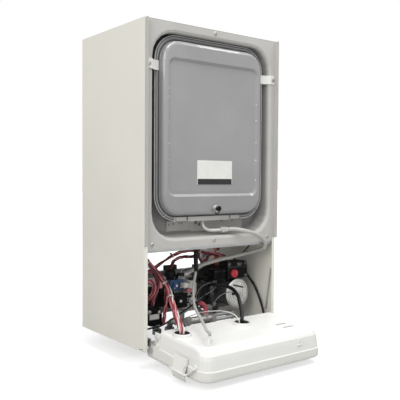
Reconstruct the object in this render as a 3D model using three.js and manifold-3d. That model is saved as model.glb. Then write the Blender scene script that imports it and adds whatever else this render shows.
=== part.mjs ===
// Wall-hung combi boiler, front cover off and control box swung down for service.
// Millimetres, +Z up. The front looks towards -Y and +X is to the right, seen from the front.
// Sizes below are in the casing's frame: y = 0 at the side panels' front edges, z = 0 at their feet.
import * as THREE from 'three';
import { mergeVertices } from 'three/addons/utils/BufferGeometryUtils.js';
import Module from 'manifold-3d';

const wasm = await Module();
wasm.setup();

// ---- Driving dimensions ----
const caseWidth = 400;
const caseHeight = 742;
const caseDepth = 300;
const sheet = 1.2;              // painted steel of the casing
const gap = 0.3;                // room left between touching pieces
const frontReturn = 9;          // the side panels' front edges, bent inwards
const rearReturn = 15;
const footReturn = 12;

const chamberFloor = 227;       // lower edge of the sealed chamber
const frameSetback = 2;         // front panel, behind the side panels' edges
const earReach = 12.5;          // side ears of the front panel, bent forwards
const earFoot = 237;            // where the ears end
const cornerCut = 8.5;          // slanted lower corners of the front panel

const recessHalfWidth = caseWidth / 2 - 22;
const recessLow = 250;
const recessHigh = caseHeight - 23;
const recessCorner = 60;
const recessDepth = 46;
const recessDraft = 9;
const rolledEdge = 7;

const vesselHalfWidth = recessHalfWidth - 14;
const vesselLow = recessLow + 39;
const vesselHigh = recessHigh - 2.5;
const vesselCorner = 60;
const vesselSeam = 16;          // front face of the seam flange
const vesselFlange = 13;
const vesselFront = 0;
const vesselRear = 39;
const vesselSheet = 1.5;
const panelHalfWidth = vesselHalfWidth - 31;     // sunk panel of the vessel's front
const panelLow = vesselLow + 63;
const panelHigh = vesselHigh - 59.5;
const panelSink = 4.5;
const beadWidth = 7;

const clipHeight = 22;
const clipLevel = vesselHigh - 74.5;
const shelfLeft = -110;
const shelfRight = 92;
const hookHeight = 9;

const hingeY = 6;               // control box hinge line
const hingeZ = 8;
const droop = 3;                // degrees below level when open
const boxHalfWidth = caseWidth / 2 - 21;
const boxDepth = 197;           // hinge line to the fascia's front edge
const boxTail = 18;             // behind the hinge line
const fasciaDrop = 25.5;
const coverHeight = 41;
const coverHalfWidth = boxHalfWidth - 3;
const coverTail = 14;           // the cover starts this far before the hinge line
const coverInset = 3;
const coverDraft = 3;
const lipRear = 6;
const lipSlope = 0.05;          // the joint between fascia and cover falls to the front
const shell = 2.4;              // moulded walls
const boxCorner = 30;
const shoulder = 22;
const hingePin = 3;

const glandRadius = 17.5;
const glandRise = 6;
const glandY = -73;
const glandXs = { left: 33 - boxHalfWidth, right: 28 };

const pumpX = caseWidth / 2 - 73;
const pumpZ = 88;
const pumpFront = 60;
const pumpCan = 38;
const pumpCanEnd = 130;
const pumpFlange = 47;
const voluteRadius = 44;
const voluteEnd = 172;

const tailRow = 190;            // the pipe tails under the casing
const tailFoot = -22;
const pipeRadius = 8;

const chamberPipeX = caseWidth / 2 - 34;
const chamberPipeY = 195;
const fanLevel = caseHeight - 87;
const fanRadius = 55;
const hoodTop = fanLevel - fanRadius;
const exchangerHalf = caseWidth / 2 - 63;
const exchangerHigh = hoodTop - 55;
const exchangerLow = exchangerHigh - 75;
const chamberFront = 103;
const chamberRear = 257;
const burnerLow = chamberFloor + 23;
const burnerHigh = burnerLow + 42;
const fanFront = 142;
const fanRear = 204;
const flueRadius = 30;
const flueRise = 22;

const railHalfLength = caseWidth / 2 - 16;
const railHeight = 30;
const railLevel = caseHeight - 32;
const railThickness = 3;
const hookSlot = { x: 110, width: 26, height: 12 };

// ---- Finishes ----
const finish = (color, roughness, metalness = 0) =>
  new THREE.MeshStandardMaterial({ color, roughness, metalness });
const whitePaint = finish(0xd6d4cb, 0.45);
const greyPaint = finish(0xbcbbb6, 0.5);
const vesselPaint = finish(0xa0a0a2, 0.4);
const zinc = finish(0xb9babb, 0.4, 0.8);
const aluminium = finish(0xc4c5c6, 0.4, 0.8);
const steel = finish(0xa9abad, 0.35, 0.9);
const copper = finish(0xb87350, 0.35, 0.9);
const brass = finish(0xb39a5c, 0.35, 0.9);
const whitePlastic = finish(0xeeede8, 0.4);
const blackPlastic = finish(0x1b1b1c, 0.5);
const greyPlastic = finish(0x55575a, 0.55);
const bluePlastic = finish(0x2d5f9c, 0.45);
const redPlastic = finish(0xd8303a, 0.4);
const greenBoard = finish(0x2f6b45, 0.6);
const hoseGrey = finish(0xb4b2aa, 0.6);
const redWire = finish(0xb4373f, 0.55);
const blackRubber = finish(0x161616, 0.7);

// ---- Solids ----
const UP = new THREE.Vector3(0, 0, 1);

function solid(geometry) {
  let source = geometry.clone();
  source.deleteAttribute('normal');
  source.deleteAttribute('uv');
  source = mergeVertices(source, 1e-4);
  const place = source.attributes.position;
  const at = (i) => new THREE.Vector3().fromBufferAttribute(place, i);
  const faces = [];
  let volume = 0;
  for (let i = 0; i < source.index.count; i += 3) {
    const [a, b, c] = [0, 1, 2].map((k) => source.index.getX(i + k));
    if (a === b || b === c || c === a) continue;
    faces.push([a, b, c]);
    volume += at(a).dot(at(b).cross(at(c)));
  }
  const turned = volume < 0 ? faces.map(([a, b, c]) => [a, c, b]) : faces;
  return new wasm.Manifold(new wasm.Mesh({
    numProp: 3,
    vertProperties: new Float32Array(place.array),
    triVerts: new Uint32Array(turned.flat()),
  }));
}

const join = (first, ...others) => others.reduce((sum, next) => sum.add(next), first);
const cut = (first, ...tools) => tools.reduce((rest, tool) => rest.subtract(tool), first);

// A block between two opposite corners.
function block([x0, y0, z0], [x1, y1, z1]) {
  const geometry = new THREE.BoxGeometry(x1 - x0, y1 - y0, z1 - z0);
  return solid(geometry.translate((x0 + x1) / 2, (y0 + y1) / 2, (z0 + z1) / 2));
}

// A round bar, or a cone where the second radius differs, between two points.
function bar(from, to, radius, endRadius = radius, sides = 24) {
  const a = new THREE.Vector3(...from);
  const b = new THREE.Vector3(...to);
  const run = b.clone().sub(a);
  const geometry = new THREE.CylinderGeometry(endRadius, radius, run.length(), sides);
  const turn = new THREE.Quaternion().setFromUnitVectors(new THREE.Vector3(0, 1, 0), run.normalize());
  geometry.applyQuaternion(turn);
  return solid(geometry.translate(...a.add(b).multiplyScalar(0.5).toArray()));
}

// A smooth bent pipe or cord through its points.
function pipe(points, radius, steps, sides = 12) {
  const circle = new THREE.Shape(Array.from({ length: sides }, (_, i) => {
    const turn = (2 * Math.PI * i) / sides;
    return new THREE.Vector2(radius * Math.cos(turn), radius * Math.sin(turn));
  }));
  const path = new THREE.CatmullRomCurve3(points.map((p) => new THREE.Vector3(...p)), false, 'centripetal');
  return solid(new THREE.ExtrudeGeometry(circle, { steps, bevelEnabled: false, extrudePath: path }));
}

// An outline drawn as [u, v] pairs and pushed along one axis: "x" takes (y, z), "y" (x, z), "z" (x, y).
function extruded(outline, axis, from, to, holes = []) {
  const shape = outline instanceof THREE.Shape
    ? outline : new THREE.Shape(outline.map(([u, v]) => new THREE.Vector2(u, v)));
  for (const hole of holes) shape.holes.push(new THREE.Path(hole.map(([u, v]) => new THREE.Vector2(u, v))));
  const depth = to - from;
  const geometry = new THREE.ExtrudeGeometry(shape, { depth, bevelEnabled: false, curveSegments: 8 });
  const frames = {
    x: [[0, 0, 1, from], [1, 0, 0, 0], [0, 1, 0, 0]],
    y: [[1, 0, 0, 0], [0, 0, 1, from], [0, 1, 0, 0]],
    z: [[1, 0, 0, 0], [0, 1, 0, 0], [0, 0, 1, from]],
  };
  const turn = new THREE.Matrix4().set(...frames[axis].flat(), 0, 0, 0, 1);
  return solid(geometry.applyMatrix4(turn));
}

// A turned piece: [radius, along] pairs round a line through "centre" that points along "direction".
function turned(profile, centre, direction = UP, sides = 28) {
  const geometry = new THREE.LatheGeometry(profile.map(([r, h]) => new THREE.Vector2(r, h)), sides);
  const aim = new THREE.Vector3(...(direction.isVector3 ? direction.toArray() : direction)).normalize();
  geometry.applyQuaternion(new THREE.Quaternion().setFromUnitVectors(new THREE.Vector3(0, 1, 0), aim));
  return solid(geometry.translate(...centre));
}

// Points round a rectangle whose corners have their own radii: [low-low, high-low, high-high, low-high].
function roundedRing(u0, u1, v0, v1, radii, facets = 5) {
  const corners = [
    [u0 + radii[0], v0 + radii[0], radii[0], Math.PI],
    [u1 - radii[1], v0 + radii[1], radii[1], 1.5 * Math.PI],
    [u1 - radii[2], v1 - radii[2], radii[2], 0],
    [u0 + radii[3], v1 - radii[3], radii[3], 0.5 * Math.PI],
  ];
  return corners.flatMap(([u, v, r, start]) => Array.from({ length: facets + 1 }, (_, i) => {
    const turn = start + (0.5 * Math.PI * i) / facets;
    return [u + r * Math.cos(turn), v + r * Math.sin(turn)];
  }));
}

// A closed body through a list of rings with the same number of points, its first and last rings capped.
function loft(rings) {
  const count = rings[0].length;
  const places = rings.flat(2);
  const middle = (ring) => [0, 1, 2].map((k) => ring.reduce((sum, p) => sum + p[k], 0) / count);
  places.push(...middle(rings[0]), ...middle(rings.at(-1)));
  const faces = [];
  for (let r = 0; r + 1 < rings.length; r += 1) {
    for (let i = 0; i < count; i += 1) {
      const [a, b] = [r * count + i, r * count + ((i + 1) % count)];
      faces.push(a, b, b + count, a, b + count, a + count);
    }
  }
  const [first, last, start] = [rings.length * count, rings.length * count + 1, (rings.length - 1) * count];
  for (let i = 0; i < count; i += 1) {
    const next = (i + 1) % count;
    faces.push(first, next, i, last, start + i, start + next);
  }
  const geometry = new THREE.BufferGeometry();
  geometry.setAttribute('position', new THREE.Float32BufferAttribute(places, 3));
  geometry.setIndex(faces);
  return solid(geometry);
}

// A ring that stands in the XZ plane at depth y.
const upright = (half, low, high, corner, y) =>
  roundedRing(-half, half, low, high, [corner, corner, corner, corner]).map(([x, z]) => [x, y, z]);

// A pressed dish: rings from its rim to its centre, and the same rings one sheet further back.
function pressed(steps, thickness) {
  const face = steps.map(([half, low, high, corner, y]) => upright(half, low, high, corner, y));
  const back = steps.map(([half, low, high, corner, y, draw]) =>
    upright(half - draw, low + draw, high - draw, Math.max(corner - draw, 0.5), y + thickness));
  return loft([...back.reverse(), ...face]);
}

// ---- The assembly ----
const boiler = new THREE.Group();
boiler.position.set(0, -caseDepth, -railLevel);
const controlBox = new THREE.Group();
controlBox.position.set(0, hingeY, hingeZ);
controlBox.rotation.x = THREE.MathUtils.degToRad(droop);
boiler.add(controlBox);

function part(name, body, material, owner = boiler) {
  const mesh = body.getMesh();
  const geometry = new THREE.BufferGeometry();
  geometry.setAttribute('position', new THREE.BufferAttribute(new Float32Array(mesh.vertProperties), 3));
  geometry.setIndex(new THREE.BufferAttribute(new Uint32Array(mesh.triVerts), 1));
  geometry.computeVertexNormals();
  const piece = new THREE.Mesh(geometry, material);
  piece.name = name;
  owner.add(piece);
}

const half = caseWidth / 2;
const inner = half - sheet;
const fit = inner - gap;
const frameBack = frameSetback + sheet;
const floorUnder = chamberFloor - sheet;
const wallFace = caseDepth;
const rearWallBack = wallFace - railThickness - gap;
const rearWallFront = rearWallBack - sheet;

// ---- Casing ----
function sidePanel(side) {
  const across = (x0, x1) => [Math.min(side * x0, side * x1), Math.max(side * x0, side * x1)];
  const piece = (x, y, z) => {
    const [x0, x1] = across(...x);
    return block([x0, y[0], z[0]], [x1, y[1], z[1]]);
  };
  return join(
    piece([half, inner], [0, wallFace], [0, caseHeight]),
    piece([half, half - frontReturn], [0, sheet], [0, earFoot - 1]),
    piece([half, half - rearReturn], [wallFace - sheet, wallFace], [0, caseHeight]),
    piece([half, half - footReturn], [caseDepth / 5, wallFace], [0, sheet]),
  );
}
part('left_side_panel', sidePanel(-1), whitePaint);
part('right_side_panel', sidePanel(1), whitePaint);

const flueY = (fanFront + fanRear) / 2;
const topUnder = caseHeight - sheet;
const topFlange = 14;
part('top_panel', cut(
  join(
    block([-fit, frameBack + gap, topUnder], [fit, rearWallBack, caseHeight]),
    block([-fit, frameBack + gap, caseHeight - topFlange], [fit, frameBack + gap + sheet, caseHeight]),
  ),
  bar([0, flueY, topUnder - 1], [0, flueY, caseHeight + 1], flueRadius + 1, flueRadius + 1, 32),
), greyPaint);

// The wall hooks pass through the rail's slots and these larger holes behind them.
const hookRoom = [-1, 1].map((side) => block(
  [side * hookSlot.x - hookSlot.width / 2 - 4, rearWallFront - 1, railLevel - hookSlot.height / 2 - 3],
  [side * hookSlot.x + hookSlot.width / 2 + 4, rearWallBack + 1, railLevel + hookSlot.height / 2 + 9],
));
part('rear_wall', cut(
  block([-fit, rearWallFront, chamberFloor + gap], [fit, rearWallBack, topUnder - gap]),
  ...hookRoom,
), zinc);

const railSlots = [-1, 1].map((side) => block(
  [side * hookSlot.x - hookSlot.width / 2, wallFace - railThickness - 1, railLevel - hookSlot.height / 2],
  [side * hookSlot.x + hookSlot.width / 2, wallFace + 1, railLevel + hookSlot.height / 2],
));
part('hanging_rail', cut(
  block([-railHalfLength, wallFace - railThickness, railLevel - railHeight / 2],
    [railHalfLength, wallFace, railLevel + railHeight / 2]),
  ...railSlots,
), zinc);

const crossRail = { low: 102, high: 127, front: 283 };
const crossRailBack = wallFace - sheet - gap;
part('rear_cross_rail', extruded([
  [crossRail.front, crossRail.low], [crossRailBack, crossRail.low], [crossRailBack, crossRail.high],
  [crossRail.front, crossRail.high], [crossRail.front, crossRail.high - sheet],
  [crossRailBack - sheet, crossRail.high - sheet], [crossRailBack - sheet, crossRail.low + sheet],
  [crossRail.front, crossRail.low + sheet],
], 'x', -fit, fit), zinc);

const gasPipeX = -17;
const gasPipeY = 112;
const burnerPipeX = 52;
const valve = { left: -34, right: 6, front: 80, back: 138, low: 56, high: 134 };
const valveTop = valve.high + 6;
const floorFlange = 6;
const wireBracket = { left: 27, right: 55, y: 98, low: 182 };   // sheet tab that carries the wires
const floorHole = (x, y) => bar([x, y, floorUnder - 1], [x, y, chamberFloor + 1], pipeRadius + 1.5);
part('chamber_floor', cut(
  join(
    block([-fit, frameBack + gap, floorUnder], [fit, rearWallBack, chamberFloor]),
    block([-fit, frameBack + gap, chamberFloor - floorFlange], [fit, frameBack + gap + sheet, chamberFloor]),
    block([wireBracket.left, wireBracket.y, wireBracket.low],
      [wireBracket.right, wireBracket.y + sheet, chamberFloor]),
    block([wireBracket.left, wireBracket.y, wireBracket.low],
      [wireBracket.right, wireBracket.y + 6, wireBracket.low + sheet]),
  ),
  floorHole(-chamberPipeX, chamberPipeY),
  floorHole(chamberPipeX, chamberPipeY),
  floorHole(burnerPipeX, gasPipeY),
), zinc);

// One deep-drawn sheet: flat frame, rolled edge round the opening, and the recess that holds the vessel.
function frontPanel() {
  const step = (out, y, draw) => [recessHalfWidth + out, recessLow - out, recessHigh + Math.max(out, -1),
    recessCorner + out, y, draw];
  const roll = [0, 0.5, 1].map((t) => step(
    rolledEdge * (1 - Math.sin((t * Math.PI) / 2)) - 1,
    frameSetback + rolledEdge * (1 - Math.cos((t * Math.PI) / 2)),
    -sheet * t,
  ));
  const back = frameSetback + recessDepth;
  const rings = [
    [fit, chamberFloor, topUnder - gap, 0.6, frameSetback, 0],
    step(rolledEdge + 3, frameSetback, 0),
    ...roll,
    step(-recessDraft, back - 4, -sheet),
    step(-recessDraft - 4, back, 0),
    [recessHalfWidth - 60, recessLow + 60, recessHigh - 60, 12, back, 0],
  ];
  const ear = (side) => {
    const [x0, x1] = [side * fit, side * (fit - sheet)].sort((a, b) => a - b);
    return block([x0, frameSetback - earReach, earFoot], [x1, frameBack, topUnder - gap]);
  };
  const corner = (side) => extruded([
    [side * fit, chamberFloor - 1], [side * fit, chamberFloor + 4],
    [side * (fit - cornerCut), chamberFloor - 1],
  ], 'y', frameSetback - 1, frameBack + 1);
  return cut(join(pressed(rings, sheet), ear(-1), ear(1)), corner(-1), corner(1));
}
part('chamber_front_panel', frontPanel(), greyPaint);

// ---- Expansion vessel: two pressed shells that meet in a seam flange ----
const vesselStep = (inset, y, draw) => [vesselHalfWidth - inset, vesselLow + inset, vesselHigh - inset,
  vesselCorner - inset, y, draw];
const chargeZ = 317;
part('vessel_front_shell', join(pressed([
  vesselStep(0, vesselSeam, 0),
  vesselStep(vesselFlange - 2, vesselSeam, 0),
  vesselStep(vesselFlange, vesselSeam - 2, vesselSheet),
  vesselStep(vesselFlange + 0.5, vesselFront + 9, vesselSheet),
  vesselStep(vesselFlange + 2, vesselFront + 4.5, vesselSheet),
  vesselStep(vesselFlange + 5, vesselFront + 1.4, vesselSheet),
  vesselStep(vesselFlange + 9.5, vesselFront, 0),
  [panelHalfWidth + beadWidth / 2, panelLow - 6, panelHigh + 6, 18, vesselFront, 0],
  [panelHalfWidth - beadWidth / 2, panelLow, panelHigh, 12, vesselFront + panelSink, 0],
], vesselSheet), turned([
  [0, -1], [8, -1], [8, 3], [4.2, 4], [4.2, 9], [2.8, 9], [2.8, 13], [0, 13],
], [0, vesselFront, chargeZ], [0, -1, 0], 20)), vesselPaint);

const rearFlange = vesselSeam + vesselSheet + gap;
function rearShell() {
  const rings = [
    [0, 0, 0], [vesselFlange - 2, 0, 0], [vesselFlange, 2, vesselSheet],
    [vesselFlange + 2, vesselRear - rearFlange - 6, vesselSheet],
    [vesselFlange + 8, vesselRear - rearFlange - vesselSheet, 0],
  ];
  const face = rings.map(([inset, drop, draw]) => {
    const step = vesselStep(inset + draw, rearFlange + drop, 0);
    return upright(...step.slice(0, 5));
  });
  const back = rings.map(([inset, drop]) =>
    upright(...vesselStep(inset, rearFlange + drop + vesselSheet, 0).slice(0, 5)));
  return loft([...face.reverse(), ...back]);
}
part('vessel_rear_shell', rearShell(), vesselPaint);

part('charging_valve_cap', turned([
  [0, 13.3], [3.1, 13.3], [3.1, 10], [5.2, 10], [6, 11], [6, 17], [4.5, 19], [0, 19],
], [0, vesselFront, chargeZ], [0, -1, 0], 12), blackPlastic);

// Clips from the frame to the seam flange.
function vesselClip(side) {
  const thick = 1.5;
  const path = [[fit - 4.5, frameSetback - thick - gap], [recessHalfWidth + 2, frameSetback - thick - gap],
    [recessHalfWidth - 4, vesselSeam / 2], [vesselHalfWidth - 9.5, vesselSeam - thick - 0.7]];
  const outline = [...path.map(([x, y]) => [side * x, y]),
    ...path.map(([x, y]) => [side * x, y + thick]).reverse()];
  return extruded(outline, 'z', clipLevel - clipHeight / 2, clipLevel + clipHeight / 2);
}
part('vessel_clip_left', vesselClip(-1), zinc);
part('vessel_clip_right', vesselClip(1), zinc);

// Shelf under the vessel: three hooks in front of the seam, a foot against the recess.
const elbowX = -18;
const elbowY = 27;
const recessBack = frameSetback + recessDepth;
const shelfTop = vesselLow - gap;
part('vessel_shelf', cut(
  join(
    block([shelfLeft, vesselSeam - gap - 1.5, shelfTop - 1.5], [shelfRight, recessBack - gap, shelfTop]),
    block([shelfLeft, vesselSeam - gap - 1.5, shelfTop - 1.5],
      [shelfRight, vesselSeam - gap, shelfTop + hookHeight]),
    block([shelfLeft, recessBack - gap - 1.5, shelfTop - 26], [shelfRight, recessBack - gap, shelfTop]),
  ),
  block([-75, 0, shelfTop + 1], [-71, vesselSeam, shelfTop + 30]),
  block([55, 0, shelfTop + 1], [59, vesselSeam, shelfTop + 30]),
  block([elbowX - 8, vesselSeam + 3, shelfTop - 5], [elbowX + 8, elbowY + 9, shelfTop + 5]),
), greyPaint);

const hoseStart = [40, 10, 263];
const hexNut = (from, to, radius) => bar(from, to, radius, radius, 6);
part('vessel_elbow', join(
  pipe([[elbowX, elbowY, vesselLow + vesselFlange - gap], [elbowX, elbowY, 284], [elbowX + 1, 22, 271],
    [-9, 15, 264], [6, 11, 263], [27, 10, 263]], 4, 14, 10),
  hexNut([26, 10, 263], [hoseStart[0] - gap, 10, 263], 7.2),
), zinc);

const hoseEnd = [-33, 82, 150];
part('vessel_hose', pipe([hoseStart, [48, 10, 263], [62, 4, 264], [82, -6, 261], [106, -11, 255],
  [131, -11, 247],
  [150, -8, 237], [163, -4, 224], [169, 5, 212], [168, 20, 205], [159, 40, 198], [144, 57, 191],
  [106, 64, 185], [67, 68, 180], [14, 76, 168], [-8, 80, 158], [-24, 82, 150], hoseEnd], 4.5, 30, 10),
hoseGrey);

// ---- Sealed chamber, behind the recess ----
const burnerWall = 2;
// An open tray with upright burner bars across it, two feet and the gas pipe.
function burner() {
  const bars = 12;
  const pitch = (2 * (exchangerHalf - 6)) / bars;
  const blades = Array.from({ length: bars }, (_, i) => {
    const x = -exchangerHalf + 6 + pitch * (i + 0.5);
    return block([x - 2.5, chamberFront + 8, burnerLow + 1], [x + 2.5, chamberRear - 8, burnerHigh - 6]);
  });
  const foot = (x) => block([x, chamberFront + 30, chamberFloor + gap],
    [x + 3, chamberRear - 30, burnerLow + 1]);
  return join(
    cut(
      block([-exchangerHalf, chamberFront, burnerLow], [exchangerHalf, chamberRear, burnerHigh]),
      block([-exchangerHalf + burnerWall, chamberFront + burnerWall, burnerLow + burnerWall],
        [exchangerHalf - burnerWall, chamberRear - burnerWall, burnerHigh + 1]),
    ),
    ...blades,
    foot(-exchangerHalf + 10),
    foot(exchangerHalf - 13),
    pipe([[gasPipeX, gasPipeY, valveTop + gap], [gasPipeX, gasPipeY, valveTop + 4],
      [gasPipeX + 9, gasPipeY, 150], [6, gasPipeY, 152], [30, gasPipeY, 154], [burnerPipeX - 6, gasPipeY, 160], [burnerPipeX, gasPipeY, 172],
      [burnerPipeX, gasPipeY, chamberFloor], [burnerPipeX, gasPipeY, burnerLow + 1]], pipeRadius - 1, 16),
  );
}
part('burner', burner(), steel);

part('combustion_chamber', cut(
  block([-exchangerHalf, chamberFront, burnerHigh + gap], [exchangerHalf, chamberRear, exchangerLow - gap]),
  block([-exchangerHalf + burnerWall, chamberFront + burnerWall, burnerHigh - 1],
    [exchangerHalf - burnerWall, chamberRear - burnerWall, exchangerLow + 1]),
), steel);

// Finned block: thin upright fins across a flat water way, with a header at each end.
function heatExchanger() {
  const fins = 16;
  const fin = 1.6;
  const waterWay = 4;
  const width = exchangerHalf - 6;
  const pitch = (2 * width) / fins;
  const waist = (exchangerLow + exchangerHigh) / 2;
  const blades = Array.from({ length: fins }, (_, i) => {
    const x = -width + pitch * (i + 0.5);
    return block([x - fin / 2, chamberFront + 4, exchangerLow],
      [x + fin / 2, chamberRear - 4, exchangerHigh]);
  });
  const ends = [-1, 1].map((side) => block(
    [Math.min(side * (width - 1), side * exchangerHalf), chamberFront, exchangerLow],
    [Math.max(side * (width - 1), side * exchangerHalf), chamberRear, exchangerHigh],
  ));
  return join(
    block([-width, chamberFront + 6, waist - waterWay], [width, chamberRear - 6, waist + waterWay]),
    ...blades,
    ...ends,
  );
}
part('heat_exchanger', heatExchanger(), copper);

const neckHalf = 38;
function flueHood() {
  const ring = (x, y0, y1, z) => roundedRing(-x, x, y0, y1, [4, 4, 4, 4], 2).map(([a, b]) => [a, b, z]);
  const low = exchangerHigh + gap;
  const outside = [ring(exchangerHalf, chamberFront, chamberRear, low),
    ring(exchangerHalf, chamberFront, chamberRear, low + 12),
    ring(neckHalf + 4, fanFront - 3, fanRear + 3, hoodTop)];
  const inside = [ring(neckHalf + 2.5, fanFront - 1.5, fanRear + 1.5, hoodTop + 1),
    ring(exchangerHalf - 1.5, chamberFront + 1.5, chamberRear - 1.5, low + 11),
    ring(exchangerHalf - 1.5, chamberFront + 1.5, chamberRear - 1.5, low - 1)];
  return cut(loft(outside), loft(inside));
}
part('flue_hood', flueHood(), steel);

const ductTop = caseHeight - 10;
const fanWall = 1.5;
part('fan_housing', cut(
  join(
    bar([0, fanFront, fanLevel], [0, fanRear, fanLevel], fanRadius, fanRadius, 28),
    bar([0, flueY, fanLevel + 20], [0, flueY, ductTop], flueRadius, flueRadius, 28),
    block([-neckHalf, fanFront, hoodTop + gap], [neckHalf, fanRear, fanLevel - 20]),
  ),
  bar([0, fanFront + fanWall, fanLevel], [0, fanRear - fanWall, fanLevel], fanRadius - fanWall,
    fanRadius - fanWall, 28),
  bar([0, flueY, fanLevel], [0, flueY, ductTop + 1], flueRadius - fanWall, flueRadius - fanWall, 28),
  block([-neckHalf + fanWall, fanFront + fanWall, hoodTop - 1],
    [neckHalf - fanWall, fanRear - fanWall, fanLevel - 15]),
  bar([0, fanFront - 1, fanLevel], [0, fanFront + 3, fanLevel], 7),
), aluminium);

const fanShaft = 4;
const fanMotorRadius = 30;
part('fan_motor', join(
  turned([[0, 0], [fanMotorRadius, 0], [fanMotorRadius, 28], [fanMotorRadius - 6, 36], [10, 38], [0, 38]],
    [0, fanFront - gap, fanLevel], [0, -1, 0]),
  bar([0, fanFront - 1, fanLevel], [0, fanRear - 14, fanLevel], fanShaft),
), blackPlastic);

function fanWheel() {
  const blades = 10;
  const reach = fanRadius - 8;
  const front = fanFront + 6;
  const back = fanRear - 8;
  const pieces = Array.from({ length: blades }, (_, i) => {
    const turn = (2 * Math.PI * i) / blades;
    const lean = turn + 0.35;
    const point = (r, a) => [r * Math.cos(a), fanLevel + r * Math.sin(a)];
    return extruded([point(9, turn), point(reach, lean), point(reach, lean + 0.04), point(9, turn + 0.16)],
      'y', front, back - 1);
  });
  return cut(join(
    bar([0, back - 2.5, fanLevel], [0, back, fanLevel], reach, reach, 24),
    bar([0, front, fanLevel], [0, back, fanLevel], 11),
    ...pieces,
  ), bar([0, front - 1, fanLevel], [0, back - 4, fanLevel], fanShaft + gap));
}
part('fan_wheel', fanWheel(), aluminium);

part('flue_collar', turned([
  [flueRadius - fanWall, ductTop + gap - caseHeight], [flueRadius, ductTop + gap - caseHeight],
  [flueRadius, gap], [flueRadius + 15, gap], [flueRadius + 15, gap + 2], [flueRadius, gap + 2],
  [flueRadius, flueRise], [flueRadius - fanWall, flueRise],
  [flueRadius - fanWall, ductTop + gap - caseHeight],
], [0, flueY, caseHeight], UP, 28), aluminium);

// ---- Gas side ----
part('gas_valve_body', join(
  extruded([
    [valve.left, valve.low + 8], [valve.left + 6, valve.low], [valve.right - 6, valve.low],
    [valve.right, valve.low + 8], [valve.right, valve.high - 14], [valve.right - 8, valve.high - 4],
    [valve.left + 10, valve.high], [valve.left, valve.high - 8],
  ], 'y', valve.front, valve.back),
  bar([gasPipeX + 6, valve.front - 4, 84], [gasPipeX + 6, valve.front + 1, 84], 9, 11, 18),
  hexNut([gasPipeX, gasPipeY, valve.high - 6], [gasPipeX, gasPipeY, valveTop], 15),
  hexNut([gasPipeX, gasPipeY, valve.low - 8], [gasPipeX, gasPipeY, valve.low + 4], 15),
  block([valve.left + 4, valve.front - 3, 104], [valve.right - 4, valve.front + 1, 128]),
  block([valve.left - 16, valve.front, 76], [valve.left + 2, valve.front + 18, 100]),
  pipe([[gasPipeX, gasPipeY, valve.low - 7], [gasPipeX, gasPipeY, 36], [-15, 124, 20], [-8, 150, 14],
    [-2, 176, 10], [0, tailRow, -4], [0, tailRow, tailFoot]], pipeRadius, 10),
  hexNut([0, tailRow, tailFoot], [0, tailRow, tailFoot + 12], 13),
), aluminium);

part('gas_valve_coil', join(
  block([-73, valve.front, 112], [valve.left - gap, valve.front + 15, 138]),
  bar([-60, valve.front - 4, 125], [-60, valve.front + 1, 125], 9, 9, 20),
), bluePlastic);
const solenoidBack = valve.front - gap;
part('gas_valve_solenoid', join(
  block([-80, solenoidBack - 18, 72], [-36, solenoidBack, 106]),
  bar([-58, solenoidBack - 21, 89], [-58, solenoidBack - 17, 89], 11, 11, 20),
), blackPlastic);

// ---- Heating side ----
const pumpAxis = (y) => [pumpX, y, pumpZ];
part('pump_face', turned([[0, 0], [37, 0], [38, -1], [38, -2.5], [34, -4], [9, -4], [9, -6], [0, -6]],
  pumpAxis(pumpFront + 4), [0, 1, 0], 30), aluminium);
// Cast motor can: ribs along its sides, a flange with four bolt lugs behind.
function pumpMotor() {
  const front = pumpFront + 4 + gap;
  const back = pumpCanEnd - gap;
  const around = (count, start, make) => Array.from({ length: count }, (_, i) => {
    const turn = start + (2 * Math.PI * i) / count;
    return make(Math.cos(turn), Math.sin(turn));
  });
  const can = turned([
    [0, 0], [pumpCan - 4, 0], [pumpCan - 1.5, 3], [pumpCan - 1.5, back - front - 14],
    [pumpFlange - 1, back - front - 11], [pumpFlange, back - front - 9], [pumpFlange, back - front],
    [0, back - front],
  ], pumpAxis(front), [0, 1, 0], 28);
  const ribs = around(10, Math.PI / 10, (u, v) => bar(
    [pumpX + u * (pumpCan - 2.5), front + 6, pumpZ + v * (pumpCan - 2.5)],
    [pumpX + u * (pumpCan - 2.5), back - 6, pumpZ + v * (pumpCan - 2.5)], 2.6, 2.6, 8));
  const lugs = around(4, Math.PI / 4, (u, v) => bar(
    [pumpX + u * (pumpFlange - 1), back - 12, pumpZ + v * (pumpFlange - 1)],
    [pumpX + u * (pumpFlange - 1), back, pumpZ + v * (pumpFlange - 1)], 7, 7, 14));
  return join(can, ...ribs, ...lugs);
}
part('pump_motor', pumpMotor(), greyPlastic);

const returnTop = [pumpX, 150, pumpZ + voluteRadius + 19];
const portFace = 160;           // front ends of the plate heat exchanger's ports
const portX = 40;
const portLow = 55;
const portHigh = 107;
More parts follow.
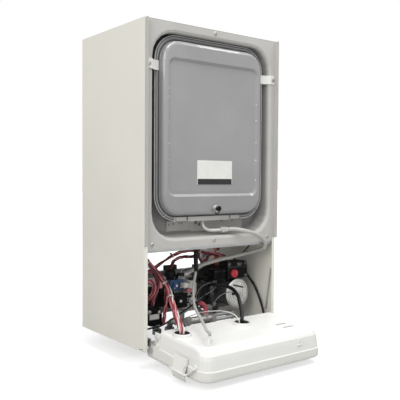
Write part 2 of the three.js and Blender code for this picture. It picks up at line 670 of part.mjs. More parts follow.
// Moulded hydraulic block beside the volute, with a rib frame on its front.
const hydro = { left: 58, right: pumpX - 9, front: 145, back: 166, low: 48, high: 158 };
function hydraulicBlock() {
  const body = block([hydro.left, hydro.front, hydro.low], [hydro.right, hydro.back, hydro.high]);
  const rib = (z) => block([hydro.left - 3, hydro.front - 3, z], [hydro.right - 6, hydro.front + 2, z + 4]);
  const levels = [hydro.low + 4, hydro.low + 38, hydro.high - 28, hydro.high - 6];
  return join(body, ...levels.map(rib),
    block([hydro.left - 3, hydro.front - 3, hydro.low], [hydro.left + 2, hydro.back, hydro.high]));
}
part('pump_volute', join(
  turned([[0, 0], [voluteRadius, 0], [voluteRadius + 1, 4], [voluteRadius + 1, 10], [voluteRadius - 4, 18],
    [voluteRadius - 6, voluteEnd - pumpCanEnd - gap], [0, voluteEnd - pumpCanEnd - gap]],
  pumpAxis(pumpCanEnd + gap), [0, 1, 0], 28),
  hydraulicBlock(),
  bar([pumpX, 150, pumpZ], returnTop, 13, 13, 20),
  hexNut([pumpX, 150, returnTop[2] - 10], returnTop, 15),
  pipe([[pumpX, 148, pumpZ - 30], [pumpX, 152, 36], [pumpX, 164, 18], [pumpX, 182, 8],
    [pumpX, tailRow, -6], [pumpX, tailRow, tailFoot]], pipeRadius + 2, 9),
  hexNut([pumpX, tailRow, tailFoot], [pumpX, tailRow, tailFoot + 12], 15),
  pipe([[hydro.left + 12, 146, portHigh], [55, 146, portHigh], [portX + 4, 148, portHigh],
    [portX, portFace - 7, portHigh], [portX, portFace - gap, portHigh]], pipeRadius, 8, 10),
), blackPlastic);

// Terminal box: the main housing and a lower step on its left.
const terminal = { left: 92, right: pumpX + 32, front: 60, back: 96, low: 128, high: 172 };
const step = { left: 53, front: 66, high: 155 };
const knobX = pumpX - 14;
const knobZ = 142;
part('pump_terminal_box', cut(
  join(
    extruded([
      [terminal.left, terminal.low], [terminal.right, terminal.low], [terminal.right, terminal.high - 4],
      [terminal.right - 4, terminal.high], [terminal.left + 3, terminal.high],
      [terminal.left, terminal.high - 3],
    ], 'y', terminal.front, terminal.back),
    block([step.left, step.front, terminal.low], [terminal.left + 1, terminal.back, step.high]),
    ...[0, 1, 2].map((i) => block([step.left + 8 + 8 * i, step.front - 2, terminal.low + 2],
      [step.left + 12 + 8 * i, step.front + 1, step.high - 2])),
  ),
  bar([knobX, terminal.front - 1, knobZ], [knobX, terminal.front + 8, knobZ], 11 + gap, 11 + gap, 24),
), blackPlastic);
part('pump_speed_knob', join(
  bar([knobX, terminal.front - 5, knobZ], [knobX, terminal.front + 8 - gap, knobZ], 10, 11, 24),
  block([knobX - 2, terminal.front - 8, knobZ - 8.5], [knobX + 2, terminal.front - 4, knobZ + 8.5]),
), redPlastic);

const exchangerPort = exchangerHigh - 40;
const chamberRun = (side, tail) => [[side * (exchangerHalf + gap), 180, exchangerPort],
  [side * (exchangerHalf + 9), 180, exchangerPort], [side * chamberPipeX, chamberPipeY, exchangerPort - 35],
  [side * chamberPipeX, chamberPipeY, exchangerPort - 105],
  [side * chamberPipeX, chamberPipeY, chamberFloor + 23], ...tail];
part('pump_to_exchanger_pipe', pipe(chamberRun(1, [[chamberPipeX, chamberPipeY, 205],
  [chamberPipeX - 12, 182, 182], [pumpX + 4, 156, 172], [pumpX, 150, 160],
  [pumpX, 150, returnTop[2] + gap]]), pipeRadius, 22), copper);

// Diverter valve: a barrel with its motor in front, an air vent and the flow tail.
const diverter = { x: 73 - caseWidth / 2, z: 58, radius: 24.5, front: 70, back: 118 };
const barrelBack = 166;
const vent = { x: -53, y: 112 };
const ventTop = 140;
part('diverter_valve_body', join(
  bar([diverter.x, diverter.back + gap, diverter.z], [diverter.x, barrelBack, diverter.z], 19, 19, 24),
  hexNut([diverter.x, barrelBack - 14, diverter.z], [diverter.x, barrelBack, diverter.z], 23),
  pipe([[diverter.x, 148, 70], [diverter.x + 4, 146, 96], [-108, 140, 108], [-82, 124, 109],
    [vent.x, vent.y, 108]], 9, 8),
  bar([vent.x, vent.y, 98], [vent.x, vent.y, ventTop], 10, 10, 20),
  pipe([[vent.x + 4, vent.y, 123], [-43, 107, 127], [-41, 101.5, 139], [-43, 92, 149], [-44, 85, 151],
    [hoseEnd[0] - 7, 82, 150], [hoseEnd[0] - gap, 82, 150]], 4, 12, 8),
  pipe([[-100, 136, portHigh], [-70, 142, portHigh], [-48, 148, portHigh], [-portX, 153, portHigh],
    [-portX, portFace - gap, portHigh]], pipeRadius, 7, 10),
  block([-156, 121, 88], [-128, 148, 118]),
  block([-140, 126, 70], [-130, 146, 90]),
  block([-110, 124, 66], [-62, 150, 100]),
  block([-72, 100, 104], [vent.x, 124, 118]),
  pipe([[diverter.x, 150, diverter.z], [diverter.x, 154, 34], [diverter.x, 168, 18], [diverter.x, 184, 8],
    [diverter.x, tailRow, -6], [diverter.x, tailRow, tailFoot]], pipeRadius, 9),
  hexNut([diverter.x, tailRow, tailFoot], [diverter.x, tailRow, tailFoot + 12], 13),
), greyPlastic);
part('diverter_motor', join(turned([
  [0, 0], [diverter.radius - 3, 0], [diverter.radius, 3], [diverter.radius, 30],
  [diverter.radius - 5, 34], [diverter.radius - 5, diverter.back - diverter.front],
  [0, diverter.back - diverter.front],
], [diverter.x, diverter.front, diverter.z], [0, 1, 0], 28),
block([diverter.x - 24, diverter.front + 2, diverter.z + 14], [diverter.x - 8, diverter.front + 20, 90]),
block([diverter.x + 18, diverter.front, 35], [diverter.x + 30, diverter.front + 16, 50])), blackPlastic);
part('exchanger_to_diverter_pipe', pipe(chamberRun(-1, [[-chamberPipeX, chamberPipeY, 130],
  [-chamberPipeX + 6, 195, 90], [-146, 192, 66], [-131, 184, diverter.z],
  [diverter.x, 175, diverter.z], [diverter.x, barrelBack + gap, diverter.z]]), pipeRadius, 24), copper);

// Air vent cap: a knurled screw cap with two wings.
const capLow = ventTop + gap;
part('air_vent_cap', join(
  turned([[0, 0], [12, 0], [13, 2], [13, 16], [10, 19], [5, 20], [5, 30], [0, 31]],
    [vent.x, vent.y, capLow], UP, 18),
  ...[-1, 1].map((side) => block([vent.x + side * 9.5 - 8, vent.y - 5, capLow + 18],
    [vent.x + side * 9.5 + 8, vent.y + 5, capLow + 31])),
), greyPlastic);

// ---- Domestic water side ----
// Plate heat exchanger: a stack of ribbed plates standing front to back, with its two pipe tails.
const stack = { half: 60, front: 168, back: 214, low: 40, high: 122, plates: 9 };
function plateStack() {
  const pitch = (stack.back - stack.front) / stack.plates;
  const edge = (z, out) => Array.from({ length: stack.plates }, (_, i) => [
    [stack.front + pitch * i, z], [stack.front + pitch * (i + 0.3), z + out],
    [stack.front + pitch * (i + 0.7), z + out],
  ]).flat();
  const outline = [...edge(stack.low, -2), [stack.back, stack.low], [stack.back, stack.high],
    ...edge(stack.high, 2).reverse()];
  const ports = [-portX, portX].flatMap((x) => [portLow, portHigh].map((z) =>
    bar([x, portFace, z], [x, stack.front + 2, z], 9, 9, 16)));
  const tails = [-portX, portX].flatMap((x) => [
    bar([x, tailRow, tailFoot], [x, tailRow, stack.low + 2], pipeRadius - 1, pipeRadius - 1, 16),
    hexNut([x, tailRow, tailFoot], [x, tailRow, tailFoot + 12], 12),
  ]);
  return join(extruded(outline, 'x', -stack.half, stack.half), ...ports, ...tails);
}
part('plate_heat_exchanger', plateStack(), steel);

// Cold water inlet: a low manifold with the filling tap, and the pipe to the plate heat exchanger.
const inlet = { left: -30, middle: 46, right: 118, y: 74, z: 32 };
const tap = { x: 31, low: 46 };
part('water_inlet_group', join(
  bar([inlet.left, inlet.y, inlet.z], [inlet.middle + 4, inlet.y, inlet.z], 9, 9, 20),
  hexNut([inlet.left, inlet.y, inlet.z], [inlet.left + 10, inlet.y, inlet.z], 12),
  block([inlet.middle, inlet.y - 11, inlet.z - 10], [inlet.middle + 12, inlet.y + 9, inlet.z + 10]),
  block([inlet.right - 8, inlet.y - 11, inlet.z - 10], [inlet.right, inlet.y + 9, inlet.z + 10]),
  bar([inlet.middle + 8, inlet.y + 3, inlet.z + 4], [inlet.right - 4, inlet.y + 3, inlet.z + 4], 5, 5, 14),
  bar([inlet.middle + 8, inlet.y - 5, inlet.z - 5], [inlet.right - 4, inlet.y - 5, inlet.z - 5], 5, 5, 14),
  hexNut([tap.x, inlet.y, inlet.z], [tap.x, inlet.y, tap.low - gap], 9),
  pipe([[inlet.middle + 6, inlet.y, inlet.z], [inlet.middle + 6, 90, inlet.z], [inlet.middle + 4, 116, 38],
    [44, 144, 52], [portX, 154, portLow], [portX, portFace - gap, portLow]], pipeRadius - 1, 9),
), aluminium);
part('relief_valve_cap', join(
  hexNut([tap.x, inlet.y, tap.low], [tap.x, inlet.y, tap.low + 7], 7.5),
  pipe([[tap.x, inlet.y, tap.low + 3], [tap.x, inlet.y, 54], [tap.x - 4, inlet.y - 1, 65],
    [tap.x - 12, inlet.y - 2, 72], [tap.x - 20, inlet.y - 2, 74]], 5.5, 8),
), redPlastic);

// Stay rod on the right panel, with its two feet.
part('stay_rod', join(
  bar([fit - 4.5, 8, 155], [fit - 4.5, 24, 47], 1.6, 1.6, 10),
  bar([fit - 4.5, 8, 153], [fit, 8, 153], 2, 2, 10),
  bar([fit - 4.5, 24, 49], [fit, 24, 49], 2, 2, 10),
), zinc);

// ---- Control box: fascia tray below, moulded cover above ----
const joint = (y) => lipRear + lipSlope * (y + coverTail);
const frontRadii = (front, rear) => [front, front, rear, rear];

function flatRing(halfWidth, front, rear, corner, tailCorner, z) {
  const level = typeof z === 'function' ? z : () => z;
  return roundedRing(-halfWidth, halfWidth, front, rear, frontRadii(corner, tailCorner))
    .map(([x, y]) => [x, y, level(y)]);
}

function boxTray() {
  const ring = (inset, z) => flatRing(boxHalfWidth - inset, -boxDepth + inset, boxTail - inset,
    boxCorner - inset, 8 - Math.min(inset, 6), z);
  const rim = (y) => joint(y) - gap;
  const floor = -fasciaDrop;
  return loft([
    ring(4, floor), ring(1, floor + 3), ring(0, floor + 8), ring(0, rim),
    ring(shell, rim), ring(shell + 1, floor + 8), ring(shell + 3, floor + shell),
  ]);
}
const pinReach = boxHalfWidth + 11;
const pinBoss = (side) => join(
  bar([side * (boxHalfWidth - 3), 0, 0], [side * (boxHalfWidth + 4), 0, 0], 7, 7, 18),
  bar([side * boxHalfWidth, 0, 0], [side * pinReach, 0, 0], hingePin, hingePin, 16),
);
const fasciaHole = (x, y, radius) => bar([x, y, -fasciaDrop - 1], [x, y, -fasciaDrop + shell + 1], radius);
const dials = { water: 83 - boxHalfWidth, heat: -30, gauge: boxHalfWidth - 75, button: 44, y: 99 - boxDepth };
const knobStem = 5;
part('box_fascia', join(cut(
  boxTray(),
  fasciaHole(dials.water, dials.y, knobStem + gap),
  fasciaHole(dials.heat, dials.y, knobStem + gap),
  fasciaHole(dials.gauge, dials.y, 20 + gap),
  fasciaHole(dials.button, dials.y, 6 + gap),
), pinBoss(-1), pinBoss(1)), whitePlastic, controlBox);

function boxCover() {
  const ring = (inset, tuck, z) => flatRing(coverHalfWidth - inset, -boxDepth + coverInset + tuck,
    -coverTail - inset, boxCorner - 4, 8, z);
  const bend = [0.25, 0.5, 0.75, 1].map((t) => {
    const turn = (t * Math.PI) / 2;
    return [coverDraft + 7 * (1 - Math.cos(turn)), coverDraft + shoulder * (1 - Math.cos(turn)),
      coverHeight - shoulder + shoulder * Math.sin(turn)];
  });
  const outside = [ring(0, 0, joint), ring(coverDraft * 0.6, coverDraft, coverHeight - shoulder),
    ...bend.map(([inset, tuck, z]) => ring(inset, tuck, z))];
  const inside = [ring(shell, shell, (y) => joint(y) - 1),
    ring(shell + coverDraft * 0.6, shell + coverDraft, coverHeight - shoulder),
    ...bend.slice(0, 3).map(([inset, tuck, z]) => ring(inset + shell, tuck + shell, z - 1)),
    ring(12 + shell, shoulder + coverDraft + shell, coverHeight - shell)];
  return cut(loft(outside), loft(inside));
}
const collar = (x) => bar([x, glandY, coverHeight - 1], [x, glandY, coverHeight + glandRise],
  glandRadius + 4.5, glandRadius + 3, 32);
const glandHole = (x) => bar([x, glandY, coverHeight - 4], [x, glandY, coverHeight + glandRise + 1],
  glandRadius + gap, glandRadius + gap, 32);
const louvre = (y) => block([coverHalfWidth - 82, y - 3, coverHeight - 1],
  [coverHalfWidth - 48, y + 3, coverHeight + 1]);
const bosses = [[-coverHalfWidth + 1, -24], [-coverHalfWidth + 1, -165]].flatMap(([x, y]) => [1, -1].map(
  (side) => bar([side * x, y, joint(y)], [side * x, y, joint(y) + 9], 5, 4, 14)));
part('box_cover', cut(
  join(boxCover(), collar(glandXs.left), collar(glandXs.right), ...bosses),
  glandHole(glandXs.left), glandHole(glandXs.right), louvre(-118), louvre(-143),
), whitePlastic, controlBox);

// Rubber glands that fill the collars, dished round the cables.
function gland(x) {
  const low = coverHeight - 4 + gap;
  const rise = coverHeight + glandRise - low;
  return turned([[0, -1], [glandRadius, -1], [glandRadius, rise - 1], [glandRadius - 3, rise - 1],
    [glandRadius - 6, rise - 4], [0, rise - 4]], [x, glandY, low], UP, 28);
}
part('gland_left', gland(glandXs.left), blackRubber, controlBox);
part('gland_right', gland(glandXs.right), blackRubber, controlBox);
const bootPlace = [42 - boxHalfWidth, 39 - boxDepth];
part('cable_boot', loft([[9, 6.5, 0], [8, 6, 4], [4.4, 4.4, 15], [4, 4, 20]].map(([a, b, rise]) =>
  roundedRing(bootPlace[0] - a, bootPlace[0] + a, bootPlace[1] - b, bootPlace[1] + b, [2, 2, 2, 2], 2)
    .map(([x, y]) => [x, y, coverHeight + gap + rise]))), whitePlastic, controlBox);

const boardTop = -4;
part('circuit_board', join(
  block([29 - boxHalfWidth, 19 - boxDepth, boardTop - 1.6], [boxHalfWidth - 29, -26, boardTop]),
  block([-140, -60, boardTop - 0.1], [-96, -30, boardTop + 26]),
  block([-70, -160, boardTop - 0.1], [-40, -130, boardTop + 18]),
  block([10, -60, boardTop - 0.1], [70, -36, boardTop + 14]),
  block([90, -150, boardTop - 0.1], [110, -90, boardTop + 12]),
  ...[-1, 1].flatMap((side) => [[side * (boxHalfWidth - 39), 29 - boxDepth],
    [side * (boxHalfWidth - 39), -36]]).map(([x, y]) => bar(
    [x, y, -fasciaDrop + shell + gap], [x, y, boardTop - 1], 4, 4, 12)),
), greenBoard, controlBox);

// Dials on the fascia's outer face, which looks down while the box hangs open.
const fasciaFace = -fasciaDrop;
function dial(x) {
  const grip = block([x - 2.5, dials.y - 15, fasciaFace - 17], [x + 2.5, dials.y + 15, fasciaFace - 12]);
  return join(
    turned([[0, 0.1], [17, 0.1], [18, 1.5], [16, 13], [0, 13]],
      [x, dials.y, fasciaFace - gap], [0, 0, -1], 28),
    bar([x, dials.y, fasciaFace - 1], [x, dials.y, fasciaFace + shell + 4], knobStem, knobStem, 16),
    grip,
  );
}
part('water_temperature_knob', dial(dials.water), greyPlastic, controlBox);
part('heating_temperature_knob', dial(dials.heat), greyPlastic, controlBox);
part('reset_button', join(
  bar([dials.button, dials.y, fasciaFace - 4], [dials.button, dials.y, fasciaFace + shell + 4], 6, 6, 18),
  bar([dials.button, dials.y, fasciaFace + shell + gap], [dials.button, dials.y, fasciaFace + shell + 4],
    8.5, 8.5, 18),
), greyPlastic, controlBox);
part('pressure_gauge', join(
  bar([dials.gauge, dials.y, fasciaFace - 3], [dials.gauge, dials.y, fasciaFace + shell + 10], 20, 20, 28),
  bar([dials.gauge, dials.y, fasciaFace - 3], [dials.gauge, dials.y, fasciaFace - gap], 22.5, 22.5, 28),
), blackPlastic, controlBox);

// Snap hook on the left side: it flares out to a ridge and tucks back under it.
const latchX = -(boxHalfWidth + gap);
const latchFront = -142;
const latchRear = -98;
part('box_latch', extruded([
  [latchX, 14], [latchX - 2, 15], [latchX - 10.4, -16], [latchX - 10.4, -18.5], [latchX - 5, -34],
  [latchX - 3, -34], [latchX - 7, -18], [latchX - 1.6, 2], [latchX, 2],
], 'y', latchRear, latchFront), whitePlastic, controlBox);

// Brackets on the side panels that carry the hinge pins.
function hingeBracket(side) {
  const wide = (x0, x1) => [Math.min(side * x0, side * x1), Math.max(side * x0, side * x1)];
  const plate = (x, y, z) => {
    const [x0, x1] = wide(...x);
    return block([x0, y[0], z[0]], [x1, y[1], z[1]]);
  };
  const eyeFace = boxHalfWidth + 4 + gap;
  return cut(
    join(
      plate([eyeFace, eyeFace + 2], [-4, 26], [-3, 30]),
      plate([eyeFace, fit], [sheet + gap, 26], [28, 30]),
      plate([fit - 2, fit], [sheet + gap, 40], [4, 30]),
    ),
    bar([side * (eyeFace - 1), hingeY, hingeZ], [side * (eyeFace + 3), hingeY, hingeZ], hingePin + gap,
      hingePin + gap, 16),
  );
}
part('hinge_bracket_left', hingeBracket(-1), steel);
part('hinge_bracket_right', hingeBracket(1), steel);

// ---- Cables: hand-chosen routes in the casing's frame ----
const fromBox = (x, y, z) => {
  const turn = THREE.MathUtils.degToRad(droop);
  const [along, across] = [Math.cos(turn), Math.sin(turn)];
  return [x, hingeY + y * along - z * across, hingeZ + y * across + z * along];
};
const glandTop = (x, rise) => fromBox(x, glandY, coverHeight + glandRise - 4 + gap + rise);
const bootTop = (rise) => fromBox(...bootPlace, coverHeight + 20 + 2 * gap + rise);

const cable = (name, points, radius, steps, sides, material) =>
  part(name, pipe(points, radius, steps, sides), material);

const redRun = [[-176, 56, floorUnder - gap], [-176, 56, 216], [-171, 60, 207], [-154, 68, 195],
  [-121, 77, 166], [-100, 63, 134], [-103, 38, 108], [-115, 4, 85], [-131, -36, 66],
  glandTop(glandXs.left, 8), glandTop(glandXs.left, 0)];
// Two branches leave it: one hooks over to the diverter motor's top, one hangs to its lower socket.
const redHook = [[-174, 56, 210], [-177, 54, 186], [-175, 53, 164], [-163, 53, 149],
  [-149, 53, 147], [-139, 54, 138], [-138, 58, 121], [-141, 68, 105], [-143, 78, 98], [-143, 80, 94],
  [-143, 80, 90 + gap]];
const redDrop = [[-101, 63, 136], [-99, 62, 122], [-100, 62, 103], [-100, 62, 82], [-102, 63, 62],
  [-103, 65, 50], [-103, 66, 42.5], [-103, diverter.front - gap, 42.5]];
part('red_harness', join(pipe(redRun, 6, 15, 10), pipe(redHook, 5, 18, 8), pipe(redDrop, 4, 12, 8)), redWire);

const upperRun = [[-140, 134, 118 + gap], [-140, 134, 129], [-128, 122, 148], [-108, 108, 166],
  [-82, 96, 184], [-52, 92, 200], [-20, 90, 206], [10, 89, 205], [44, 88, 198], [76, 87, 191],
  [102, 82, 183], [102, 82, terminal.high + gap]];
const upperLoop = [[52, 84, floorUnder - gap], [52, 84, 216], [64, 84, 212], [75, 84, 204],
  [80, 85, 196], [78, 87, 190]];
part('upper_harness', join(pipe(upperRun, 5, 22, 8), pipe(upperLoop, 4.5, 9, 8)), redWire);
cable('grey_cable', [[-12.6, 58, floorUnder - gap], [-12.6, 58, 208.5], [-13, 58, 186], [-12.6, 58, 160.6],
  [-20, 56, 129], [-26, 50, 104.4], [-39, 30, 87], [-82, -42, 80], [-112, -102, 72], [-132, -142, 66],
  bootTop(7), bootTop(0)], 3.2, 22, 8, hoseGrey);
cable('pump_sensor_cable', [glandTop(glandXs.right, 0), glandTop(glandXs.right, 8), [36, -60, 67],
  [49, -38, 87], [62, -12, 104], [68, 18, 114], [60, 42, 119], [48, 64, 119], [46, 88, 118], [54, 116, 119], [64, 134, 120],
  [66, 139, 120], [66, hydro.front - gap, 120]], 4.5, 20, 10, blackRubber);
cable('mains_cable', [[-182, 64, sheet + gap], [-182, 64, 10], [-181, 56, 24], [-172, 55, 32],
  [-150, 55, 36], [-118, 55, 38], [-70, 55.5, 56], [-19, 57, 78], [14, 61, 91], [27, 70, 104],
  [34, 80, 118], [39, 87, 130], [46, 88, 135], [step.left - gap, 88, 135]], 2.2, 34, 8, blackRubber);
cable('pump_cable', [[terminal.right + gap, 78, 140], [165, 78, 140], [175, 73, 128], [186, 63, 106],
  [189, 48, 80], [184, 30, 58], [176, 14, 42], [168, 2, 34], [164, -4, 31], [164, -8, 31]],
3.2, 16, 8, blackRubber);

export default boiler;
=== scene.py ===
from math import atan, copysign, cos, pi, radians, sin

import bmesh
import bpy
from mathutils import Matrix, Vector


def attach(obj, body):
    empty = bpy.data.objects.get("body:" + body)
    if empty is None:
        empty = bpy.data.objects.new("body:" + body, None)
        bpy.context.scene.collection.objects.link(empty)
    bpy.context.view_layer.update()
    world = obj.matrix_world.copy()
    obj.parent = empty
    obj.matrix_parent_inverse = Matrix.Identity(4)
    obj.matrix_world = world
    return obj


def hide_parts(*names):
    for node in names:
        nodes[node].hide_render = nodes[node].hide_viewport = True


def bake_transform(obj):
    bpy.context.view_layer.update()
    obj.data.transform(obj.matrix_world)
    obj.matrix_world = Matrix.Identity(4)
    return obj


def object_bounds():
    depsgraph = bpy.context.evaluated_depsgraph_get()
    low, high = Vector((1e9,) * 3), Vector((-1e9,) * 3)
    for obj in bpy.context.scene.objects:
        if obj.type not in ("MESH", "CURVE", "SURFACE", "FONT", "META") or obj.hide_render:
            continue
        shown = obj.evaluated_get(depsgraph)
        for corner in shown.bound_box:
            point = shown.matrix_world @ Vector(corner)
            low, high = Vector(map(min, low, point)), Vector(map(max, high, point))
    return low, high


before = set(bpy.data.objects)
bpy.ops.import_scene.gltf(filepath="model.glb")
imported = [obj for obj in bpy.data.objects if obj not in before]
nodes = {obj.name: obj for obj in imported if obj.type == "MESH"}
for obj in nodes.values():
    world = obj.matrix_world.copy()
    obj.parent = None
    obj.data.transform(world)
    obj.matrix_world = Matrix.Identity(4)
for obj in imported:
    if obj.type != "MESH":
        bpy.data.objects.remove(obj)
cad_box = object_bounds()

# Pieces are measured in millimetres in the casing's frame (y = 0 at the side panels' front edges,
# z = 0 at their feet) or in the control box's frame (hinge line at y = 0, z = 0).
MM = 0.001
BOX_LEAN = radians(3)
BOX_HINGE = (6, 8)      # the hinge line's y and z in the casing's frame
CASING = Matrix.Translation((0, -0.300, -0.710))
BOX = Matrix.Translation((0, -0.294, -0.702)) @ Matrix.Rotation(BOX_LEAN, 4, "X")
FRONT, REAR, UP, DOWN = (0, -1, 0), (0, 1, 0), (0, 0, 1), (0, 0, -1)
SIDES = (-1, 1)


# ---------- shader nodes
def linear(colour):
    return tuple((c / 12.92) if c <= 0.04045 else ((c + 0.055) / 1.055) ** 2.4 for c in colour) + (1,)


def feed(tree, target, values):
    """Links other nodes' outputs to a node's inputs, or sets the inputs to plain values."""
    for key, value in values.items():
        if isinstance(value, bpy.types.NodeSocket):
            tree.links.new(value, target.inputs[key])
        else:
            target.inputs[key].default_value = value
    return target


def node(tree, kind, values=None, **settings):
    made = tree.nodes.new("ShaderNode" + kind)
    for key, value in settings.items():
        setattr(made, key, value)
    return feed(tree, made, values or {})


def maths(tree, operation, first, second=0.5):
    return node(tree, "Math", {0: first, 1: second}, operation=operation).outputs[0]


def remap(tree, value, start=0.0, end=1.0, low=0.0, high=1.0):
    values = {"Value": value, "From Min": start, "From Max": end, "To Min": low, "To Max": high}
    return node(tree, "MapRange", values).outputs["Result"]


def mixed(tree, amount, under, over):
    return node(tree, "Mix", {0: amount, 6: under, 7: over}, data_type="RGBA").outputs[2]


def noise(tree, where, scale, detail, roughness=0.5):
    values = {"Vector": where, "Scale": scale, "Detail": detail, "Roughness": roughness}
    return node(tree, "TexNoise", values).outputs["Fac"]


def two_tones(tree, clouds, tone, second):
    """The second tone where the clouds are thin, the first one where they are dense."""
    ramp = node(tree, "ValToRGB", {"Fac": clouds})
    thin, dense = ramp.color_ramp.elements
    thin.position, dense.position = 0.32, 0.68
    thin.color, dense.color = linear(second), linear(tone)
    return ramp.outputs["Color"]


# ---------- camera, light and floor
def hang_camera():
    """The camera as solved from the photograph: its turn in radians, and its focal length in pixels."""
    yaw, pitch, roll = 0.65481352, 0.03597434, 0.00652386
    focal_length, photo_width, sensor_width = 613.162, 400, 36
    forward = Vector((sin(yaw) * cos(pitch), cos(yaw) * cos(pitch), -sin(pitch)))
    level = Vector((cos(yaw), -sin(yaw), 0))
    upward = level.cross(forward)
    right = level * cos(roll) + upward * sin(roll)
    top = upward * cos(roll) - level * sin(roll)
    camera = bpy.data.objects.new("camera", bpy.data.cameras.new("camera"))
    bpy.context.collection.objects.link(camera)
    turn = Matrix((right, top, -forward)).transposed().to_4x4()
    camera.matrix_world = Matrix.Translation((-0.925709, -1.445998, -0.320383)) @ turn
    camera.data.sensor_width = sensor_width
    camera.data.lens = focal_length / photo_width * sensor_width
    camera.data.clip_start = 0.01
    camera.data.clip_end = 50
    bpy.context.scene.camera = camera


def softbox(name, place, target, width, height, watts, colour=(1, 1, 1)):
    lamp = bpy.data.lights.new(name, "AREA")
    lamp.shape = "RECTANGLE"
    lamp.size, lamp.size_y = width, height
    lamp.energy = watts
    lamp.color = colour
    light = bpy.data.objects.new(name, lamp)
    bpy.context.collection.objects.link(light)
    light.location = place
    light.rotation_euler = (Vector(target) - Vector(place)).to_track_quat("-Z", "Y").to_euler()


def white_world():
    """A white room: full for the camera, weaker in mirrors and glass, and weakest as a light."""
    as_light, in_mirrors = 0.34, 0.75
    world = bpy.data.worlds.new("studio")
    bpy.context.scene.world = world
    world.use_nodes = True
    tree = world.node_tree
    path = node(tree, "LightPath").outputs
    mirrored = maths(tree, "MAXIMUM", path["Is Glossy Ray"], path["Is Transmission Ray"])
    seen = maths(tree, "MAXIMUM", path["Is Camera Ray"], maths(tree, "MULTIPLY", mirrored, in_mirrors))
    feed(tree, tree.nodes["Background"], {"Color": (1, 1, 1, 1), "Strength": remap(tree, seen, low=as_light)})


def pale_floor():
    """A floor just below the object, which fades to the room's white with distance (in metres)."""
    gap, fade_start, fade_end, near_glow = 0.003, 0.4, 2.2, 0.64
    bpy.ops.mesh.primitive_plane_add(size=30, location=(0, 0, cad_box[0][2] - gap))
    floor = bpy.context.object
    floor.name = "floor"
    paint = bpy.data.materials.new("pale floor")
    paint.use_nodes = True
    tree = paint.node_tree
    tree.nodes.clear()
    away = node(tree, "VectorMath", {0: node(tree, "TexCoord").outputs["Object"]}, operation="LENGTH")
    rise = remap(tree, away.outputs["Value"], fade_start, fade_end, near_glow)
    seen = node(tree, "LightPath").outputs["Is Camera Ray"]
    glow = node(tree, "Emission", {"Strength": maths(tree, "MULTIPLY", seen, rise)})
    diffuse = node(tree, "BsdfDiffuse", {"Color": (0.5, 0.5, 0.5, 1)})
    both = node(tree, "AddShader", {0: diffuse.outputs[0], 1: glow.outputs[0]})
    node(tree, "OutputMaterial", {"Surface": both.outputs[0]})
    floor.data.materials.append(paint)


bpy.context.scene.view_settings.view_transform = "Standard"
hang_camera()
white_world()
softbox("window", (-2.6, -1.6, 1.4), (0, -0.2, -0.35), 2.2, 2.2, 64, (1, 0.985, 0.96))
softbox("ceiling", (0.2, -0.85, 2.3), (0, -0.35, -0.6), 2.4, 2.0, 84)
softbox("front", (0.6, -3.0, 0.1), (0, 0, -0.4), 1.6, 1.6, 6, (0.97, 0.985, 1))
softbox("glint", (2.1, -1.75, 2.2), (0, -0.3, -0.4), 0.7, 0.7, 13)
pale_floor()


# ---------- finishes
FINISH = {}


def tone_zone(tree, spot, colour, clouds, tone, second, limits):
    """Gives part of a node its own two tones: where each (axis, from, to) limit, in metres, is passed."""
    apart = node(tree, "SeparateXYZ", {0: spot})
    mask = 1.0
    for axis, start, end in limits:
        level = apart.outputs[axis.strip("|").upper()]
        if axis.startswith("|"):
            level = maths(tree, "ABSOLUTE", level)
        mask = maths(tree, "MULTIPLY", mask, remap(tree, level, start, end))
    return mixed(tree, mask, colour, two_tones(tree, clouds, tone, second))


def finish(name, tone, second, rough, cloud, grain, bump, spread=0.08, metal=0.0, coat=0.0, shine=0.5,
           specks=None, zone=None, by_route=False):
    """A paint, metal or plastic: two tones in soft clouds, fine grain in gloss and height, and a few specks.

    cloud and grain are noise scales per metre, bump is in millimetres, specks are (strength, tone).
    """
    paint = bpy.data.materials.new(name)
    paint.use_nodes = True
    tree = paint.node_tree
    spot = node(tree, "TexCoord").outputs["UV" if by_route else "Object"]
    clouds = noise(tree, spot, cloud, 6, 0.62)
    fine = noise(tree, spot, grain, 3)
    colour = two_tones(tree, clouds, tone, second)
    if specks:
        strength, speck_tone = specks
        dots = remap(tree, noise(tree, spot, grain * 0.3, 2), 0.68, 0.76, high=strength)
        colour = mixed(tree, dots, colour, linear(speck_tone))
    if zone:
        colour = tone_zone(tree, spot, colour, clouds, *zone)
    middle = maths(tree, "MULTIPLY", maths(tree, "ADD", fine, clouds), 0.5)
    relief = node(tree, "Bump", {"Strength": min(bump * 10, 1), "Distance": bump * MM, "Height": fine})
    feed(tree, tree.nodes["Principled BSDF"], {
        "Base Color": colour, "Metallic": metal, "Coat Weight": coat, "Specular IOR Level": shine,
        "Roughness": remap(tree, middle, low=max(rough - spread, 0.03), high=min(rough + spread, 1)),
        "Normal": relief.outputs[0]})
    FINISH[name] = paint
    return paint


